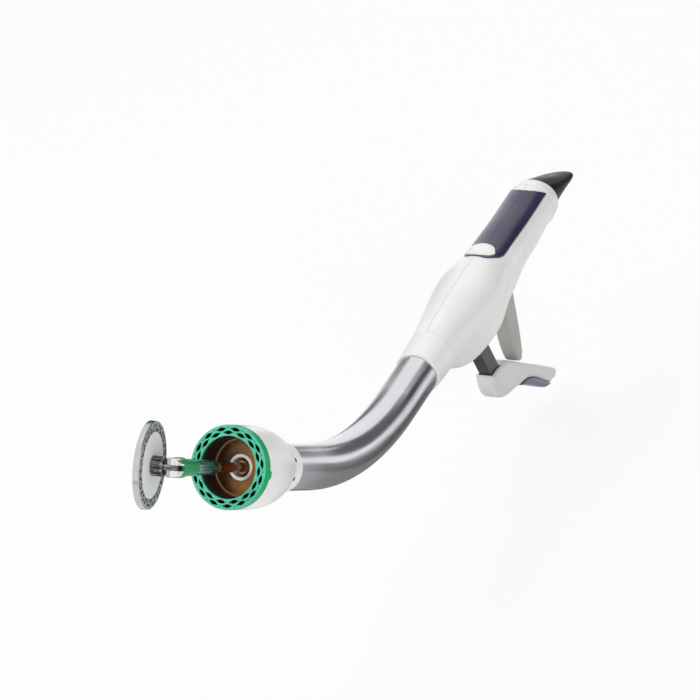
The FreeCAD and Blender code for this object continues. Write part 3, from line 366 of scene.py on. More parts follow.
@dataclass(frozen=True)
class BossPlastic(MouldedPlastic):
    """Amber plastic with painted light towards its -Y side and painted shade towards +Y, with
    turned rings and a pale rim line.
    """

    shade: Colour = (0.045, 0.012, 0.002)
    rim: Colour = (0.36, 0.22, 0.10)
    rim_radius: float = 0.0112
    rim_blur: float = 0.0001
    painted_light_slope: float = -62.0
    painted_light_middle: float = 0.42

    def toned(self, graph: Graph) -> Signal:
        """The painted light grows towards -y; the rings are noise of the distance from the head's
        axis.
        """
        _, radius, _ = head_coordinates(graph)
        _, y, _ = graph.axes()
        rings = graph.streaks(3.0, radius * 1600.0, 0.0)
        clouds = graph.noise(230.0, 4.0)
        # Painted light towards -Y and painted shade towards +Y, with the rings and clouds mixed in.
        glow = y * self.painted_light_slope + self.painted_light_middle + rings.swing(0.8) + clouds.swing(0.7)
        colour = graph.mixed(glow.clamped(), self.shade, self.colour)
        past_rim = radius.ramp(self.rim_radius - self.rim_blur, self.rim_radius + self.rim_blur)
        return graph.mixed(past_rim, colour, self.rim)


@dataclass(frozen=True)
class LeverPlastic(MouldedPlastic):
    """Grey plastic of the hand lever, with painted shade in the socket around the steel bar."""

    # Painted shade: the colour of the gap around the bar's foot.
    socket: Colour = (0.02, 0.02, 0.02)
    half_depth: float = 0.0049
    half_thickness: float = 0.0037
    socket_end: float = 0.043
    blur: float = 0.0002

    def toned(self, graph: Graph) -> Signal:
        """The socket, which gets painted shade, is where the point lies within the bar's section,
        seen along the bar.
        """
        colour = super().toned(graph)
        x, y, z = graph.axes()
        back, drop = x - ARM_PIVOT[0], ARM_PIVOT[1] - z
        across = abs(back * math.cos(ARM_SLANT) - drop * math.sin(ARM_SLANT))
        along = back * math.sin(ARM_SLANT) + drop * math.cos(ARM_SLANT)
        in_depth = 1.0 - across.ramp(self.half_depth - self.blur, self.half_depth + self.blur)
        in_thickness = 1.0 - abs(y).ramp(self.half_thickness - self.blur,
                                         self.half_thickness + self.blur)
        inside = in_depth * in_thickness
        return graph.mixed(inside * (1.0 - along.above(self.socket_end)), colour, self.socket)


@dataclass(frozen=True)
class ScuffedDisc(MouldedPlastic):
    """White cutting disc with fine concentric marks and short scratches."""

    scratch: Colour = (0.30, 0.30, 0.30)
    edge_line: float = 0.01278
    edge_blur: float = 0.0001
    edge_shade: Colour = (0.04, 0.04, 0.04)

    def toned(self, graph: Graph) -> Signal:
        """Marks are noise drawn out around the disc's centre; scratches are stretched noise."""
        _, radius, around = anvil_coordinates(graph)
        marks = graph.streaks(3.0, radius * 2600.0, around * 3.0)
        x, y, z = graph.axes()
        lines = graph.streaks(2.0, x * 700.0 + z * 500.0, y * 500.0, z * 4200.0 - x * 2600.0)
        wear = (marks.ramp(0.52, 0.8) * 0.35 + lines.ramp(0.60, 0.78) * 0.5).clamped()
        colour = graph.mixed(wear, self.colour, self.scratch)
        past_edge = radius.ramp(self.edge_line, self.edge_line + self.edge_blur)
        return graph.mixed(past_edge, colour, self.edge_shade)


@dataclass(frozen=True)
class SoftGrip(Finish):
    """Soft overmoulded rubber with a pebbled skin that is paler where it is rubbed."""

    colour: Colour
    rubbed: Colour
    pebble_scale: float = 1500.0
    pebble_height: float = 0.00003
    roughness: float = 0.36
    coat: float = 0.6
    coat_roughness: float = 0.22

    def build(self, graph: Graph) -> Material:
        """Pebbles are rounded cells; rubbing follows broad noise and the pebbles' tops."""
        pebbles = graph.cells(self.pebble_scale)
        broad = graph.noise(70.0, 4.0)
        rubbing = (broad.ramp(0.45, 0.8) * 0.45 + (0.5 - pebbles).clamped() * 0.35).clamped()
        colour = graph.mixed(rubbing, self.colour, self.rubbed)
        _, y, _ = graph.axes()
        in_seam = 1.0 - abs(y).ramp(0.4 * SEAM_WIDTH, SEAM_WIDTH)
        colour = graph.mixed(in_seam, colour, scaled(self.colour, 0.3))
        rough = self.roughness + broad.swing(0.16)
        height = (1.0 - pebbles * 1.4) + broad * 0.3
        return graph.finish(Base_Color=colour, Roughness=rough, Coat_Weight=self.coat,
                            Coat_Roughness=self.coat_roughness,
                            Normal=graph.bump(height, self.pebble_height))


class Brushing(Enum):
    """Which way the fine lines of brushed metal run."""

    AROUND = "around"
    ALONG = "along"


@dataclass(frozen=True)
class BrushedSteel(Finish):
    """Brushed metal whose lines follow the bent shaft or run around the head's axis."""

    colour: Colour
    dark: Colour
    brushing: Brushing = Brushing.ALONG
    roughness: float = 0.3
    lines: float = 2600.0
    line_height: float = 0.0000025

    def build(self, graph: Graph) -> Material:
        """Lines are noise that is drawn out along the shaft's path or around it."""
        path, around = shaft_coordinates(graph)
        if self.brushing is Brushing.ALONG:
            streak = graph.streaks(4.0, path * 14.0, around * self.lines * 0.02)
        else:
            streak = graph.streaks(4.0, path * self.lines, around * 0.6)
        smudge = graph.noise(60.0, 4.0)
        tone = (streak.ramp(0.3, 0.72) * 0.75 + smudge.ramp(0.4, 0.8) * 0.25).clamped()
        colour = graph.mixed(tone, self.colour, self.dark)
        rough = self.roughness + streak.swing(0.22) + smudge.swing(0.12)
        return graph.finish(Base_Color=colour, Metallic=1.0, Roughness=rough,
                            Normal=graph.bump(streak, self.line_height, 0.6))


@dataclass(frozen=True)
class PolishedSteel(Finish):
    """Turned and polished metal with faint turning rings and finger smudges."""

    colour: Colour
    roughness: float = 0.14
    turning: float = 1400.0
    ring_height: float = 0.000008

    def build(self, graph: Graph) -> Material:
        """Turning rings are noise of the distance along the shaft's path."""
        path, around = shaft_coordinates(graph)
        rings = graph.streaks(3.0, path * self.turning, around * 0.2)
        smudge = graph.noise(SMUDGE_SCALE, 5.0)
        dull = scaled(self.colour, 0.78)
        colour = graph.mixed(smudge.ramp(0.4, 0.85) * 0.6, self.colour, dull)
        rough = self.roughness + rings.swing(0.08) + smudge.ramp(0.45, 0.8) * 0.12
        return graph.finish(Base_Color=colour, Metallic=1.0, Roughness=rough,
                            Normal=graph.bump(rings, self.ring_height, 0.5))


@dataclass(frozen=True)
class AnvilSteel(PolishedSteel):
    """Polished anvil with painted shade in its staple pockets, and a darker hub with lighter
    grooves.
    """

    pocket_shade_and_hub_dark: Colour = (0.03, 0.03, 0.03)
    hub_outer: float = 0.0047
    band_inner: float = 0.0131
    band_outer: float = 0.0168
    face_depth: Flat = (0.0006, 0.0008)
    pocket_depth: Flat = (0.00005, 0.00012)
    ring_height: float = 0.000004

    def build(self, graph: Graph) -> Material:
        """Pockets lie behind the face and are filled with painted shade; the land between them is
        broken up by fine noise.
        """
        depth, radius, around = anvil_coordinates(graph)
        rings = graph.streaks(3.0, radius * self.turning * 2.0, around * 0.4)
        speckle = graph.noise(1700.0, 2.0)
        in_band = radius.above(self.band_inner) * (1.0 - radius.above(self.band_outer))
        near_face = 1.0 - abs(depth).ramp(*self.face_depth)
        deep = depth.ramp(*self.pocket_depth)
        land = graph.mixed(speckle.ramp(0.42, 0.6), self.colour, scaled(self.colour, 0.35))
        # Painted shade: the pockets behind the face take the near-black colour.
        band = graph.mixed(deep, land, self.pocket_shade_and_hub_dark)
        smudge = graph.noise(SMUDGE_SCALE, 5.0)
        dull = scaled(self.colour, 0.72)
        plain = graph.mixed(smudge.ramp(0.4, 0.85) * 0.6, self.colour, dull)
        colour = graph.mixed(in_band * near_face, plain, band)
        grooves = graph.streaks(2.0, around * 9.0, depth * 120.0)
        hub = graph.mixed(grooves.ramp(0.42, 0.58), self.pocket_shade_and_hub_dark, scaled(self.colour, 0.55))
        colour = graph.mixed(radius.above(self.hub_outer), hub, colour)
        rough = self.roughness + rings.swing(0.1) + smudge.ramp(0.45, 0.8) * 0.12
        return graph.finish(Base_Color=colour, Metallic=1.0 - in_band * near_face * 0.8,
                            Roughness=rough, Normal=graph.bump(rings, self.ring_height, 0.5))


@dataclass(frozen=True)
class FlutedSteel(Finish):
    """Turned steel with a shank painted dark as a painted reflection, lighter lines along its axis
    as painted highlights, and a brighter fork in front of them.
    """

    colour: Colour
    dark: Colour
    roughness: float = 0.2
    bright: Colour = (0.80, 0.80, 0.80)
    fork_start: float = 0.0412
    line_height: float = 0.00002

    def build(self, graph: Graph) -> Material:
        """Lines are noise of the angle around the head's axis, hardly changing along it; their
        light and dark are painted highlights and painted reflection.
        """
        ahead, radius, around = head_coordinates(graph)
        lines = graph.streaks(3.0, ahead * 40.0, around * 5.0, radius * 900.0)
        smudge = graph.noise(420.0, 4.0)
        tone = (lines.ramp(0.38, 0.62) * 0.8 + smudge.ramp(0.45, 0.75) * 0.3).clamped()
        # Painted reflection and painted highlights: the shank mixes a dark colour with lighter
        # lines.
        colour = graph.mixed(tone, self.colour, self.dark)
        forked = ahead.above(self.fork_start)
        colour = graph.mixed(forked * (1.0 - smudge.ramp(0.5, 0.8) * 0.5), colour, self.bright)
        rough = self.roughness + smudge.swing(0.16)
        return graph.finish(Base_Color=colour, Metallic=1.0, Roughness=rough,
                            Normal=graph.bump(lines, self.line_height, 0.7))


@dataclass(frozen=True)
class CastMetal(Finish):
    """Plain dark or tinted metal with a blasted grain."""

    colour: Colour
    roughness: float = 0.4
    metallic: float = 1.0
    grain: float = 0.00001

    def build(self, graph: Graph) -> Material:
        """Blasted grain is fine noise; the tone drifts with broad noise."""
        fine = graph.noise(2400.0, 3.0)
        broad = graph.noise(110.0, 4.0)
        pale = tuple(min(1.0, c * 1.35 + 0.002) for c in self.colour)
        colour = graph.mixed(broad.ramp(0.35, 0.75) * 0.5, self.colour, pale)
        rough = self.roughness + broad.swing(0.2) + fine.swing(0.08)
        return graph.finish(Base_Color=colour, Metallic=self.metallic, Roughness=rough,
                            Normal=graph.bump(fine, self.grain))


def shaft_coordinates(graph: Graph) -> Tuple[Signal, Signal]:
    """Distance along the shaft's centre line and angle around it, from the object coordinates.

    The centre line is straight, then an arc about (BEND_START_X, BEND_RADIUS), then straight.
    Along the arc the distance is the radius times the angle turned; in front of it, the angle
    is full and the rest is measured along the head's axis.

    Args:
        graph: The material's graph.

    Returns:
        The distance in metres and the angle in radians.
    """
    x, y, z = graph.axes()
    behind = x - BEND_START_X
    turned = graph.math("ARCTAN2", -behind, BEND_RADIUS - z)
    front_x = x - float(BEND_END[0])
    front_z = z - float(BEND_END[2])
    front = front_x * float(HEAD_AXIS[0]) + front_z * float(HEAD_AXIS[2])
    lift = front_x * float(HEAD_UP[0]) + front_z * float(HEAD_UP[2])
    in_front = front.above(0.0)
    in_rear = behind.above(0.0)
    reach = graph.math("SQRT", behind * behind + (BEND_RADIUS - z) * (BEND_RADIUS - z))
    bend_path = turned * BEND_RADIUS
    path = in_rear * (-behind) + (1.0 - in_rear) * (
        in_front * (front + BEND_RADIUS * BEND_ANGLE) + (1.0 - in_front) * bend_path)
    height = in_rear * z + (1.0 - in_rear) * (
        in_front * lift + (1.0 - in_front) * (BEND_RADIUS - reach))
    return path, graph.math("ARCTAN2", y, height)


def head_coordinates(graph: Graph) -> Tuple[Signal, Signal, Signal]:
    """Distance in front of the cartridge's face, distance from its axis and angle around it."""
    return axial_coordinates(graph, FACE_CENTRE, HEAD_AXIS, HEAD_UP)


def anvil_coordinates(graph: Graph) -> Tuple[Signal, Signal, Signal]:
    """Depth behind the anvil's working face, distance from its own axis and angle around it."""
    side = np.cross(ANVIL_AXIS, HEAD_UP)
    face = HINGE_CENTRE + ANVIL_AXIS * ANVIL_FACE
    return axial_coordinates(graph, face, ANVIL_AXIS, np.cross(side, ANVIL_AXIS))


def axial_coordinates(graph: Graph, origin: np.ndarray, axis: np.ndarray,
                      up: np.ndarray) -> Tuple[Signal, Signal, Signal]:
    """Cylinder coordinates about an axis, from the object coordinates.

    Along is the offset from the origin times the axis; lift and side are its parts across the
    axis, the distance is their root of squares and the angle their arc tangent.

    Args:
        graph: The material's graph.
        origin: A point on the axis, where the distance along it is 0.
        axis: The axis, of length 1.
        up: Direction of angle 0, across the axis.

    Returns:
        Distance along the axis, distance from it and the angle around it.
    """
    place = graph.place()
    offset = graph.node("ShaderNodeVectorMath", {"operation": "SUBTRACT"},
                        {0: place, 1: tuple(float(c) for c in origin)})
    across = np.cross(axis, up)
    parts = []
    settings = {"operation": "DOT_PRODUCT"}
    for direction in (axis, up, across):
        inputs = {0: offset, 1: tuple(float(c) for c in direction)}
        parts.append(graph.node("ShaderNodeVectorMath", settings, inputs, "Value"))
    along, lift, side = parts
    radius = graph.math("SQRT", lift * lift + side * side)
    return along, radius, graph.math("ARCTAN2", side, lift)


# Finishes

WHITE_SHELL = MouldedPlastic("white_shell", (0.82, 0.815, 0.80), roughness=0.34, coat=0.2,
                             seams=(SHELL_START, SHELL_END), parted=True)
WHITE_CAP = MouldedPlastic("white_cap", (0.82, 0.815, 0.80), roughness=0.34, coat=0.2)
WHITE_HEAD = HousingPlastic("white_head", (0.83, 0.83, 0.815), roughness=0.34, coat=0.2)
GUIDE_WHITE = MouldedPlastic("guide_white", (0.95, 0.94, 0.90), roughness=0.4, coat=0.1)
WASHER_WHITE = ScuffedDisc("washer_white", (0.80, 0.80, 0.79), roughness=0.5, coat=0.0)
GREEN_RING = RingPlastic("green_ring", (0.0, 0.36, 0.115), roughness=0.3, coat=0.0, gloss=0.12)
GREEN_COLLAR = MouldedPlastic("green_collar", (0.0, 0.27, 0.085), roughness=0.25, coat=0.0,
                              mottling=0.08, gloss=0.2)
AMBER_BOSS = BossPlastic("amber_boss", (0.66, 0.27, 0.045), roughness=0.3, coat=0.2, gloss=0.3)
LEVER_GREY = LeverPlastic("lever_grey", (0.66, 0.66, 0.65), roughness=0.4, coat=0.1)
CATCH_GREY = MouldedPlastic("catch_grey", (0.41, 0.41, 0.38), roughness=0.45, coat=0.05,
                            mottling=0.05)
KNOB_BLACK = MouldedPlastic("knob_black", (0.010, 0.010, 0.010), roughness=0.36, coat=0.2,
                            mottling=0.1)
INNER_NYLON = MouldedPlastic("inner_nylon", (0.55, 0.55, 0.52), roughness=0.5, coat=0.0)
# Painted shade: the driver tube inside the neck is near black so that the latch holes read dark.
DRIVER_TUBE_SHADE = MouldedPlastic("driver_tube_painted_shade", (0.012, 0.012, 0.012), roughness=0.5, coat=0.0)
NAVY_GRIP = SoftGrip("navy_grip", (0.009, 0.007, 0.045), (0.028, 0.030, 0.100))
NAVY_PAD = SoftGrip("navy_pad", (0.045, 0.040, 0.150), (0.10, 0.10, 0.24))
TUBE_STEEL = BrushedSteel("tube_steel", (0.74, 0.75, 0.78), (0.60, 0.61, 0.64), roughness=0.22)
STEM_STEEL = BrushedSteel("stem_steel", (0.50, 0.51, 0.52), (0.24, 0.24, 0.25), Brushing.AROUND,
                          0.24)
SHANK_STEEL = FlutedSteel("shank_steel", (0.46, 0.47, 0.47), (0.07, 0.07, 0.07))
BAR_STEEL = CastMetal("bar_steel", (0.060, 0.060, 0.062), 0.4, metallic=0.35)
# Painted shade: the knife's wall inside the ring is near-black brown, the shade seen there.
KNIFE_WALL_SHADE = CastMetal("blade_steel", (0.012, 0.003, 0.001), 0.5, metallic=0.0)
ANVIL_CHROME = AnvilSteel("anvil_chrome", (0.60, 0.60, 0.60))
# Painted shade: the staples in the slots are dark so that the slots read black.
STAPLE_SHADE = PolishedSteel("staple_wire", (0.10, 0.11, 0.11), 0.3)
TROCAR_BRONZE = BrushedSteel("trocar_bronze", (0.40, 0.24, 0.12), (0.12, 0.06, 0.03),
                             Brushing.ALONG, 0.24)

NODE_FINISHES: Dict[str, Finish] = {
    node: finish for finish, nodes in (
        (ANVIL_CHROME, "anvil_head"),
        (WASHER_WHITE, "anvil_washer"),
        (SHANK_STEEL, "anvil_pivot_pin anvil_rod"),
        (GREEN_COLLAR, "anvil_collar"),
        (TROCAR_BRONZE, "trocar screw_bush screw_nut"),
        (GREEN_RING, "cartridge_ring"),
        (STAPLE_SHADE, "staples"),
        (INNER_NYLON, "staple_pusher guide_bracket drive_yoke"),
        (KNIFE_WALL_SHADE, "circular_knife"),
        (AMBER_BOSS, "knife_carrier"),
        (GUIDE_WHITE, "trocar_guide"),
        (WHITE_HEAD, "head_housing"),
        (TUBE_STEEL, "shaft_tube"),
        (STEM_STEEL, "guide_tube draw_bands lead_screw lever_pin lever_spring safety_pin"),
        (DRIVER_TUBE_SHADE, "driver_tube"),
        (WHITE_CAP, "nose_ring hump_cap rear_cap"),
        (WHITE_SHELL, "body_left body_right"),
        (NAVY_GRIP, "grip_pad_left grip_pad_right"),
        (BAR_STEEL, "body_screws lever_arm"),
        (KNOB_BLACK, "adjusting_knob"),
        (LEVER_GREY, "lever_grip"),
        (NAVY_PAD, "lever_pad"),
        (CATCH_GREY, "safety_catch"),
    ) for node in nodes.split()
}


def dress_nodes() -> None:
    """Give every node of the frame its finish."""
    for name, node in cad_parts.items():
        material = NODE_FINISHES[name].material()
        for slot in node.material_slots:
            slot.material = material


def smooth_run(points: Sequence[Flat], count: int = 60) -> np.ndarray:
    """Smooth curve through points of an outline.

    It is a cubic spline on chord length: the second derivatives solve the usual three-term rows,
    and at each end the slope is that of the cubic through the nearest four points.

    Args:
        points: At least three points.
        count: Number of points returned.

    Returns:
        Points on the curve, from the first to the last.
    """
    knots = np.asarray(points, float)
    steps = np.linalg.norm(np.diff(knots, axis=0), axis=1)
    places = np.concatenate([[0.0], np.cumsum(steps)])
    wanted = np.linspace(0.0, places[-1], count)
    size, reach = len(knots), min(4, len(knots))
    slopes = []
    for part in (slice(0, reach), slice(size - reach, size)):
        at_end = places[0] if part.start == 0 else places[-1]
        fits = [np.polyfit(places[part] - at_end, knots[part, axis], reach - 1) for axis in (0, 1)]
        slopes.append(np.array([fit[-2] for fit in fits]))
    rows = np.zeros((size, size))
    right = np.zeros((size, 2))
    rises = np.diff(knots, axis=0) / steps[:, None]
    inner = np.arange(1, size - 1)
    rows[inner, inner - 1] = steps[:-1]
    rows[inner, inner] = 2 * (steps[:-1] + steps[1:])
    rows[inner, inner + 1] = steps[1:]
    right[inner] = 6 * (rises[1:] - rises[:-1])
    rows[0, :2] = (2 * steps[0], steps[0])
    rows[-1, -2:] = (steps[-1], 2 * steps[-1])
    right[0] = 6 * (rises[0] - slopes[0])
    right[-1] = 6 * (slopes[1] - rises[-1])
    curving = np.linalg.solve(rows, right)
    span = np.clip(np.searchsorted(places, wanted, side="right") - 1, 0, size - 2)
    width = steps[span][:, None]
    ahead = (places[span + 1] - wanted)[:, None]
    behind = (wanted - places[span])[:, None]
    return ((curving[span] * ahead ** 3 + curving[span + 1] * behind ** 3) / (6 * width)
            + (knots[span] / width - curving[span] * width / 6) * ahead
            + (knots[span + 1] / width - curving[span + 1] * width / 6) * behind)


def closed_loop(runs: Sequence[Run], spacing: float, rounding: float) -> np.ndarray:
    """Evenly spaced loop through runs that follow each other, with its corners rounded.

    The loop is resampled by arc length, and each point becomes the mean of its neighbours with
    the weights of a bell curve, worked out as a product of Fourier transforms.

    Args:
        runs: The outline's runs, each starting where the last one ends.
        spacing: Distance between the points.
        rounding: Half width of the bell curve.

    Returns:
        The loop, running anticlockwise, without a repeated point.
    """
    points = np.concatenate([smooth_run(run)[:-1] for run in runs])
    shut = np.vstack([points, points[:1]])
    places = np.concatenate([[0.0], np.cumsum(np.linalg.norm(np.diff(shut, axis=0), axis=1))])
    count = int(round(places[-1] / spacing))
    wanted = np.linspace(0.0, places[-1], count, endpoint=False)
    even = np.stack([np.interp(wanted, places, shut[:, axis]) for axis in (0, 1)], axis=1)
    waves = np.fft.fftfreq(count, d=places[-1] / count)
    bell = np.exp(-2 * (math.pi * waves * rounding) ** 2)[:, None]
    even = np.real(np.fft.ifft(np.fft.fft(even, axis=0) * bell, axis=0))
    after = np.roll(even, -1, axis=0)
    turning = float(np.sum(even[:, 0] * after[:, 1] - even[:, 1] * after[:, 0]))
    return even if turning > 0 else even[::-1]


def inner_room(loop: np.ndarray) -> Tuple[np.ndarray, np.ndarray]:
    """Inward direction and radius of the largest inside circle touching each point of a loop.

    The circle that touches point p with inward direction n and passes q has the radius
    |q - p|^2 / (2 (q - p).n); the smallest over all q in front of p is the one that fits.

    Args:
        loop: Anticlockwise loop.

    Returns:
        Inward unit vectors and the radii.
    """
    along = np.roll(loop, -1, axis=0) - np.roll(loop, 1, axis=0)
    along /= np.linalg.norm(along, axis=1)[:, None]
    inward = np.stack([-along[:, 1], along[:, 0]], axis=1)
    offset = loop[None, :, :] - loop[:, None, :]
    facing = np.einsum("pqi,pi->pq", offset, inward)
    reach = np.einsum("pqi,pqi->pq", offset, offset)
    radius = np.where(facing > 1e-9, reach / (2 * np.maximum(facing, 1e-9)), np.inf)
    return inward, radius.min(axis=1)


def mesh_object(name: str, points: np.ndarray,
                faces: Sequence[Sequence[int]]) -> bpy.types.Object:
    """Object at the origin from points and faces.

    Args:
        name: Name of the object and its mesh.
        points: One row of X, Y and Z for each point, in metres.
        faces: Rows of point numbers.

    Returns:
        The object, linked to the scene.
    """
    mesh = bpy.data.meshes.new(name)
    mesh.from_pydata(points.tolist(), [], [list(face) for face in faces])
    mesh.validate()
    made = bpy.data.objects.new(name, mesh)
    bpy.context.scene.collection.objects.link(made)
    return made


@dataclass
class RoundedPlate:
    """Moulded plate in the symmetry plane whose edges are rounded, standing for a CAD node.

    Its runs are distances behind the nose rim and heights; all its lengths are in mm. Fill is the
    share of a thin place's inside circle that the rounding may take.
    """

    node: str
    body: str
    runs: Tuple[Run, ...]
    half_width: float
    edge: float
    corner: float = 0.5
    spacing: float = 0.45
    edge_rows: int = 7
    fill: float = 0.9

    def build(self) -> None:
        """Sweep the loop across the plate, and dress the piece.

        Towards each side the loop moves in by edge (1 - cos a) while it moves out across the
        plate by edge sin a, a quarter circle that the inside circles of thin places limit; a
        flat face closes each side.
        """
        loop = closed_loop(self.runs, self.spacing, self.corner)
        inward, room = inner_room(loop)
        quarter = np.linspace(0.0, math.pi / 2, self.edge_rows)
        turns = np.concatenate([-quarter[::-1], quarter])
        sides = np.repeat((-1.0, 1.0), self.edge_rows)
        moves = 1 - np.cos(turns)
        across = sides * (self.half_width - self.edge) + np.sin(turns) * self.edge
        limit = np.minimum(self.edge, self.fill * room)
        rings = loop[None] + inward[None] * (moves[:, None] * limit[None])[:, :, None]
        count = len(loop)
        points = np.empty((len(moves), count, 3))
        points[:, :, 0] = rings[:, :, 0] * MM + NOSE_X
        points[:, :, 1] = across[:, None] * MM
        points[:, :, 2] = rings[:, :, 1] * MM
        row = np.arange(len(moves) - 1)[:, None] * count
        low = row + np.arange(count)[None]
        low_next = row + np.roll(np.arange(count), -1)[None]
        quads = np.stack([low, low + count, low_next + count, low_next], axis=2)
        faces = quads.reshape(-1, 4).tolist()
        last = (len(moves) - 1) * count
        faces.append(list(range(count)))
        faces.append(list(range(last + count - 1, last - 1, -1)))
        piece = mesh_object(f"{self.node}_moulding", points.reshape(-1, 3), faces)
        self.turn_out(piece.data)
        piece.data.shade_smooth()
        self.dress(piece)

    @staticmethod
    def turn_out(mesh: bpy.types.Mesh) -> None:
        """Point the faces outwards: centre . normal times area sums up to 3 volumes."""
        count = len(mesh.polygons)
        centres, normals, areas = np.empty(count * 3), np.empty(count * 3), np.empty(count)
        mesh.polygons.foreach_get("center", centres)
        mesh.polygons.foreach_get("normal", normals)
        mesh.polygons.foreach_get("area", areas)
        offset = centres.reshape(-1, 3) - centres.reshape(-1, 3).mean(axis=0)
        flow = np.einsum("fi,fi,f->", offset, normals.reshape(-1, 3), areas)
        if flow < 0:
            mesh.flip_normals()

    def dress(self, piece: bpy.types.Object) -> None:
        """Finish, slot and body of the CAD node that the piece stands for."""
        piece.data.materials.append(NODE_FINISHES[self.node].material())
        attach(piece, self.body)
        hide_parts(self.node)
        LOG.info("%s: %d faces on %s", piece.name, len(piece.data.polygons), self.body)


@dataclass
class LeverGroup:
    """Hand lever, its pad and the safety catch, as runs of their outlines and widths in mm."""

    grip_top: Run = (
        (62.8, -45.4), (70.5, -46.0), (78.6, -48.0), (93.1, -57.9), (113.8, -74.0), (131.6, -88.2))
    grip_end: Run = (
        (131.6, -88.2), (131.2, -90.6), (127.5, -92.4), (122.8, -91.3))
    grip_under: Run = (
        (122.8, -91.3), (115.4, -84.5), (107.4, -77.2), (99.6, -72.4), (90.0, -69.7))
    grip_toe: Run = (
        (90.0, -69.7), (78.0, -66.0), (69.4, -62.6), (64.0, -57.6), (62.0, -51.0), (62.8, -45.4))
    pad_under: Run = (
        (122.8, -91.3), (118.0, -90.4), (112.0, -86.6), (105.0, -80.8), (97.0, -74.6),
        (90.0, -69.7))
    catch_front: Run = (
        (94.4, -12.0), (92.2, -20.0), (90.4, -31.0), (90.6, -44.0), (94.2, -57.6))
    catch_foot: Run = (
        (94.2, -57.6), (95.6, -59.0), (98.2, -59.0), (99.9, -56.4))
    catch_rear: Run = (
        (99.9, -56.4), (101.2, -42.0), (101.5, -29.0), (101.7, -20.0), (101.8, -13.0))
    catch_top: Run = ((101.8, -13.0), (98.0, -9.1), (94.4, -12.0))
    grip_half_width: float = 5.0
    catch_half_width: float = 4.0
    grip_edge: float = 2.4
    pad_edge: float = 1.6
    catch_edge: float = 1.3

    def build(self) -> None:
        """Build the three mouldings; the pad's upper run is the grip's lower one."""
        grip_runs = (self.grip_top, self.grip_end, self.grip_under, self.grip_toe)
        pad_runs = (self.pad_under, tuple(reversed(self.grip_under)))
        catch_runs = (self.catch_front, self.catch_foot, self.catch_rear, self.catch_top)
        RoundedPlate("lever_grip", "lever", grip_runs, self.grip_half_width, self.grip_edge,
                     corner=0.8).build()
        RoundedPlate("lever_pad", "lever", pad_runs, self.grip_half_width, self.pad_edge,
                     corner=0.4, spacing=0.35).build()
        RoundedPlate("safety_catch", "safety", catch_runs, self.catch_half_width,
                     self.catch_edge).build()


def emission(graph: Graph, strength: float) -> Signal:
    """White light of a given strength."""
    return graph.node("ShaderNodeEmission", inputs={"Color": WHITE, "Strength": strength})


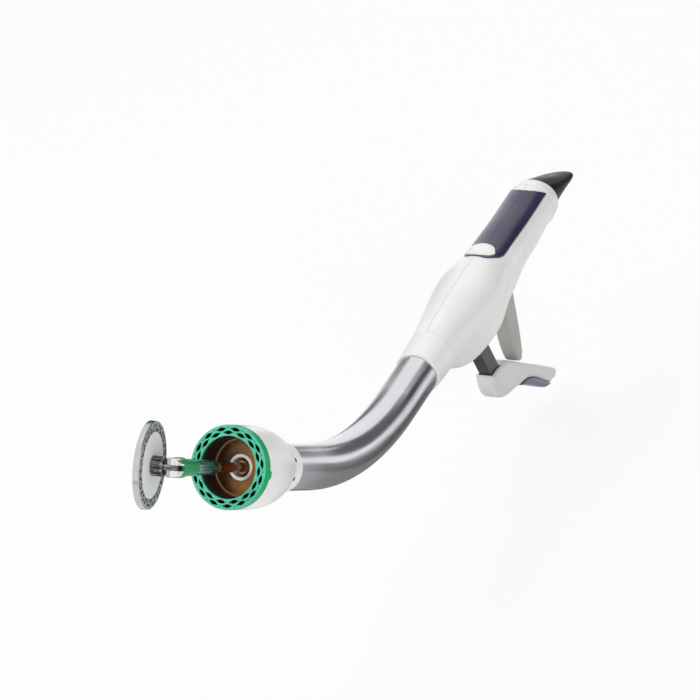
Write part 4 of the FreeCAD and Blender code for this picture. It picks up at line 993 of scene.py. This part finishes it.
def reflector(name: str, points: np.ndarray, light: float) -> None:
    """Card that only reflections see, such as a photographer's strip or flag.

    Args:
        name: Name of the card.
        points: Rows of its points, in metres.
        light: Strength of the card, 0 for black.
    """
    rows, columns = points.shape[:2]
    corner = (np.arange(rows - 1)[:, None] * columns + np.arange(columns - 1)[None]).reshape(-1)
    faces = np.stack([corner, corner + 1, corner + columns + 1, corner + columns], axis=1)
    card = mesh_object(name, points.reshape(-1, 3), faces.tolist())
    graph = Graph(bpy.data.materials.new(name))
    card.data.materials.append(graph.end(emission(graph, light)))
    card.visible_camera = False
    card.visible_diffuse = False
    card.visible_shadow = False
    card.visible_transmission = False
    card.visible_volume_scatter = False
    card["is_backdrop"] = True


@dataclass
class TubeCard:
    """Long card well away from the shaft that gives one band across its brushed steel.

    Attributes:
        name: Name of the card.
        first: Where its reflection starts across the tube at even steps from the bend's rear end
            to its front end, from -1 at the tube's upper edge.
        last: Where it ends at the same steps, up to 1 at the lower edge.
        light: Strength of the card, 0 for black.
        distances: How far the card stands from the tube, in even steps from its rear end.
        overrun: How far it runs past each end of the bend, as a share of the bend.
    """

    name: str
    first: Sequence[float]
    last: Sequence[float]
    light: float
    distances: Tuple[float, ...] = (0.62, 0.60, 0.56, 0.52)
    overrun: float = 0.35
    stations: int = 60
    strips: int = 10
    grazing: float = 0.999
    floor_gap: float = 0.004

    def build(self, camera_place: np.ndarray, floor_height: float) -> None:
        """Put each point of the card where the tube's surface mirrors it towards the camera.

        The surface normal at the share u of the tube's width leans by arcsin u from the view
        direction's part across the axis. The mirrored direction is 2 (n.v) n - v, and the card's
        point lies along it at the distance, or just above the floor where that comes first.

        Args:
            camera_place: The camera's place.
            floor_height: Height of the floor.
        """
        share = np.linspace(-self.overrun, 1.0 + self.overrun, self.stations)
        centre, axis = self.shaft_line(share)
        view = camera_place[None] - centre
        view /= np.linalg.norm(view, axis=1)[:, None]
        across = view - axis * np.einsum("si,si->s", view, axis)[:, None]
        across /= np.linalg.norm(across, axis=1)[:, None]
        upper = np.cross(across, axis)
        upper *= np.sign(upper[:, 1])[:, None]
        steps = np.linspace(0.0, 1.0, len(self.first))
        first, last = (np.interp(share, steps, edge)[:, None] for edge in (self.first, self.last))
        spread = np.linspace(0.0, 1.0, self.strips)[None]
        offset = first * (1 - spread) + last * spread
        lean = np.arcsin(np.clip(offset, -self.grazing, self.grazing))[:, :, None]
        normal = across[:, None] * np.cos(lean) - upper[:, None] * np.sin(lean)
        facing = np.einsum("sui,si->su", normal, view)
        mirrored = 2 * facing[:, :, None] * normal - view[:, None]
        start = centre[:, None] + TUBE_RADIUS * normal
        drop = start[:, :, 2] - floor_height - self.floor_gap
        fall = -mirrored[:, :, 2]
        room = np.where(fall > 1e-4, drop / np.maximum(fall, 1e-4), np.inf)
        away = np.interp(share, np.linspace(share[0], share[-1], len(self.distances)),
                         self.distances)
        points = start + mirrored * np.minimum(room, away[:, None])[:, :, None]
        reflector(self.name, points, self.light)

    @staticmethod
    def shaft_line(share: np.ndarray) -> Tuple[np.ndarray, np.ndarray]:
        """Points and directions of the shaft's centre line.

        Args:
            share: Shares of the bend's length from its rear end; under 0 and over 1 the line
                goes on straight.

        Returns:
            One point and one unit vector towards the head for each share.
        """
        turned = np.clip(share, 0.0, 1.0) * BEND_ANGLE
        level = 0 * turned
        axis = np.stack([-np.cos(turned), level, np.sin(turned)], axis=1)
        bend = np.stack([-np.sin(turned), level, 1 - np.cos(turned)], axis=1)
        beyond = (share * BEND_ANGLE - turned) * BEND_RADIUS
        return BEND_START + BEND_RADIUS * bend + axis * beyond[:, None], axis


@dataclass
class Studio:
    """Floor, soft lights, cards and the camera at the photograph's angle.

    Attributes:
        lamps: Name, place, diameter in metres and power in watts of each soft box.
        band_edges: Edges of the tube's bands across it, as TubeCard's first and last.
        side_flag: The two ends along X, the Y and the top of the flag on the -Y side.
        anvil_mirrored: Direction from the anvil to its flag.
    """

    camera_place: Point = (-0.971, -0.492, 0.657)
    camera_right: Point = (0.405, -0.895, -0.187)
    camera_back: Point = (-0.718, -0.438, 0.541)
    lens: float = 134.82
    sensor: float = 36.0
    floor_drop: float = 0.012
    floor_half: float = 3.0
    floor_glow: float = 0.8
    world_light: float = 0.55
    lamps: Tuple[Tuple[str, Point, float, float], ...] = (
        ("key", (-0.75, 0.75, 1.35), 0.9, 9.0),
        ("fill", (-1.2, -0.9, 0.5), 1.0, 6.0),
        ("rim", (0.8, 0.2, 1.2), 0.8, 6.0),
    )
    lamp_target: Point = (-0.1, 0.0, 0.02)
    band_edges: Tuple[Tuple[float, ...], ...] = (
        (-0.89, -0.93, -0.97, -0.99, -0.995, -0.999),
        (-0.66, -0.75, -0.88, -0.985, -0.99, -0.998),
        (-0.06, -0.13, -0.27, -0.48, -0.71, -0.90),
        (0.39, 0.33, 0.27, 0.10, -0.18, -0.44),
        (0.62, 0.60, 0.52, 0.38, 0.11, -0.12),
        (0.90, 0.87, 0.84, 0.70, 0.45, 0.24),
        (0.999, 0.999, 0.999, 0.999, 0.999, 0.999))
    band_lights: Tuple[float, ...] = (0.10, 1.08, 0.12, 1.15, 0.11, 0.24)
    side_flag: Tuple[float, float, float, float] = (-0.1, 1.8, -0.75, 0.55)
    side_flag_light: float = 0.02
    side_flag_gap: float = 0.01
    anvil_mirrored: Point = (0.627, 0.619, -0.473)
    anvil_flag_distance: float = 0.15
    anvil_flag_half: float = 0.07

    def build(self) -> None:
        """Set up everything around the object."""
        self.add_camera()
        self.add_world()
        self.add_floor()
        self.add_lights()
        self.add_cards()
        bpy.context.scene.view_settings.view_transform = "Standard"

    def floor_height(self) -> float:
        """Height of the floor, just below the lowest piece."""
        low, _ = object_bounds()
        return float(low[2]) - self.floor_drop

    def add_camera(self) -> None:
        """Place the camera by its own right and back directions."""
        back = Vector(self.camera_back).normalized()
        right = Vector(self.camera_right)
        right = (right - back * right.dot(back)).normalized()
        up = back.cross(right)
        data = bpy.data.cameras.new("camera")
        data.lens = self.lens
        data.sensor_width = self.sensor
        data.clip_end = 20.0
        camera = bpy.data.objects.new("camera", data)
        turn = Matrix((right, up, back)).transposed().to_4x4()
        camera.matrix_world = Matrix.Translation(self.camera_place) @ turn
        bpy.context.scene.collection.objects.link(camera)
        bpy.context.scene.camera = camera

    def add_world(self) -> None:
        """A white background for the eye and for metal, and a softer light for the rest."""
        graph = Graph(bpy.data.worlds.new("studio"))
        seen = graph.node("ShaderNodeBackground", inputs={"Color": WHITE})
        lit = graph.node("ShaderNodeBackground",
                         inputs={"Color": WHITE, "Strength": self.world_light})
        eye, metal, glass = (graph.node("ShaderNodeLightPath", out=f"Is {kind} Ray")
                             for kind in ("Camera", "Glossy", "Transmission"))
        shown = graph.math("MAXIMUM", graph.math("MAXIMUM", eye, glass), metal)
        mix = graph.node("ShaderNodeMixShader", inputs={0: shown, 1: lit, 2: seen})
        bpy.context.scene.world = graph.end(mix)

    def add_floor(self) -> None:
        """Pale floor just below the lowest piece, nearly white to the camera but for its shadow."""
        half, z = self.floor_half, self.floor_height()
        corners = np.array([(-half, -half, z), (half, -half, z), (half, half, z), (-half, half, z)])
        floor = mesh_object("floor", corners, [(0, 1, 2, 3)])
        graph = Graph(bpy.data.materials.new("floor_white"))
        diffuse = graph.node("ShaderNodeBsdfDiffuse", inputs={"Color": (0.86, 0.86, 0.86, 1.0)})
        glow = emission(graph, 1.0)
        rays = graph.node("ShaderNodeLightPath", out="Is Camera Ray")
        shown = rays * self.floor_glow
        mix = graph.node("ShaderNodeMixShader", inputs={0: shown, 1: diffuse, 2: glow})
        floor.data.materials.append(graph.end(mix))
        floor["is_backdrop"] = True

    def add_lights(self) -> None:
        """Soft boxes: key from the upper left, fill from the camera's side, rim from behind."""
        target = Vector(self.lamp_target)
        for name, place, size, power in self.lamps:
            data = bpy.data.lights.new(name, "AREA")
            data.shape = "DISK"
            data.size = size
            data.energy = power
            lamp = bpy.data.objects.new(name, data)
            lamp.location = place
            lamp.visible_glossy = False
            lamp.rotation_euler = (target - Vector(place)).to_track_quat("-Z", "Y").to_euler()
            bpy.context.scene.collection.objects.link(lamp)

    def add_cards(self) -> None:
        """Six long cards for the tube's bands, a flag on the -Y side and one before the anvil."""
        floor = self.floor_height()
        pairs = zip(self.band_edges[:-1], self.band_edges[1:])
        for index, (light, (first, last)) in enumerate(zip(self.band_lights, pairs)):
            card = TubeCard(f"tube_card_{index}", first, last, light)
            card.build(np.array(self.camera_place), floor)
        near, far, y, top = self.side_flag
        side = np.array([[(near, y, z), (far, y, z)] for z in (floor + self.side_flag_gap, top)])
        reflector("side_flag", side, self.side_flag_light)
        mirrored = Vector(self.anvil_mirrored).normalized()
        middle = Vector(HINGE_CENTRE.tolist()) + mirrored * self.anvil_flag_distance
        level = mirrored.cross(Vector((0.0, 0.0, 1.0))).normalized() * self.anvil_flag_half
        rise = level.cross(mirrored).normalized() * self.anvil_flag_half
        flag = np.array([[middle - level + up, middle + level + up] for up in (-rise, rise)])
        reflector("anvil_flag", flag, 0.0)


def main() -> None:
    """Build and dress the whole scene."""
    logging.basicConfig(level=logging.INFO, format="%(name)s: %(message)s")
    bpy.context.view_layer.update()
    dress_nodes()
    LOG.info("dressed %d nodes", len(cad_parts))
    LeverGroup().build()
    Studio().build()
    LOG.info("studio is set")


if __name__ == "__main__":
    main()
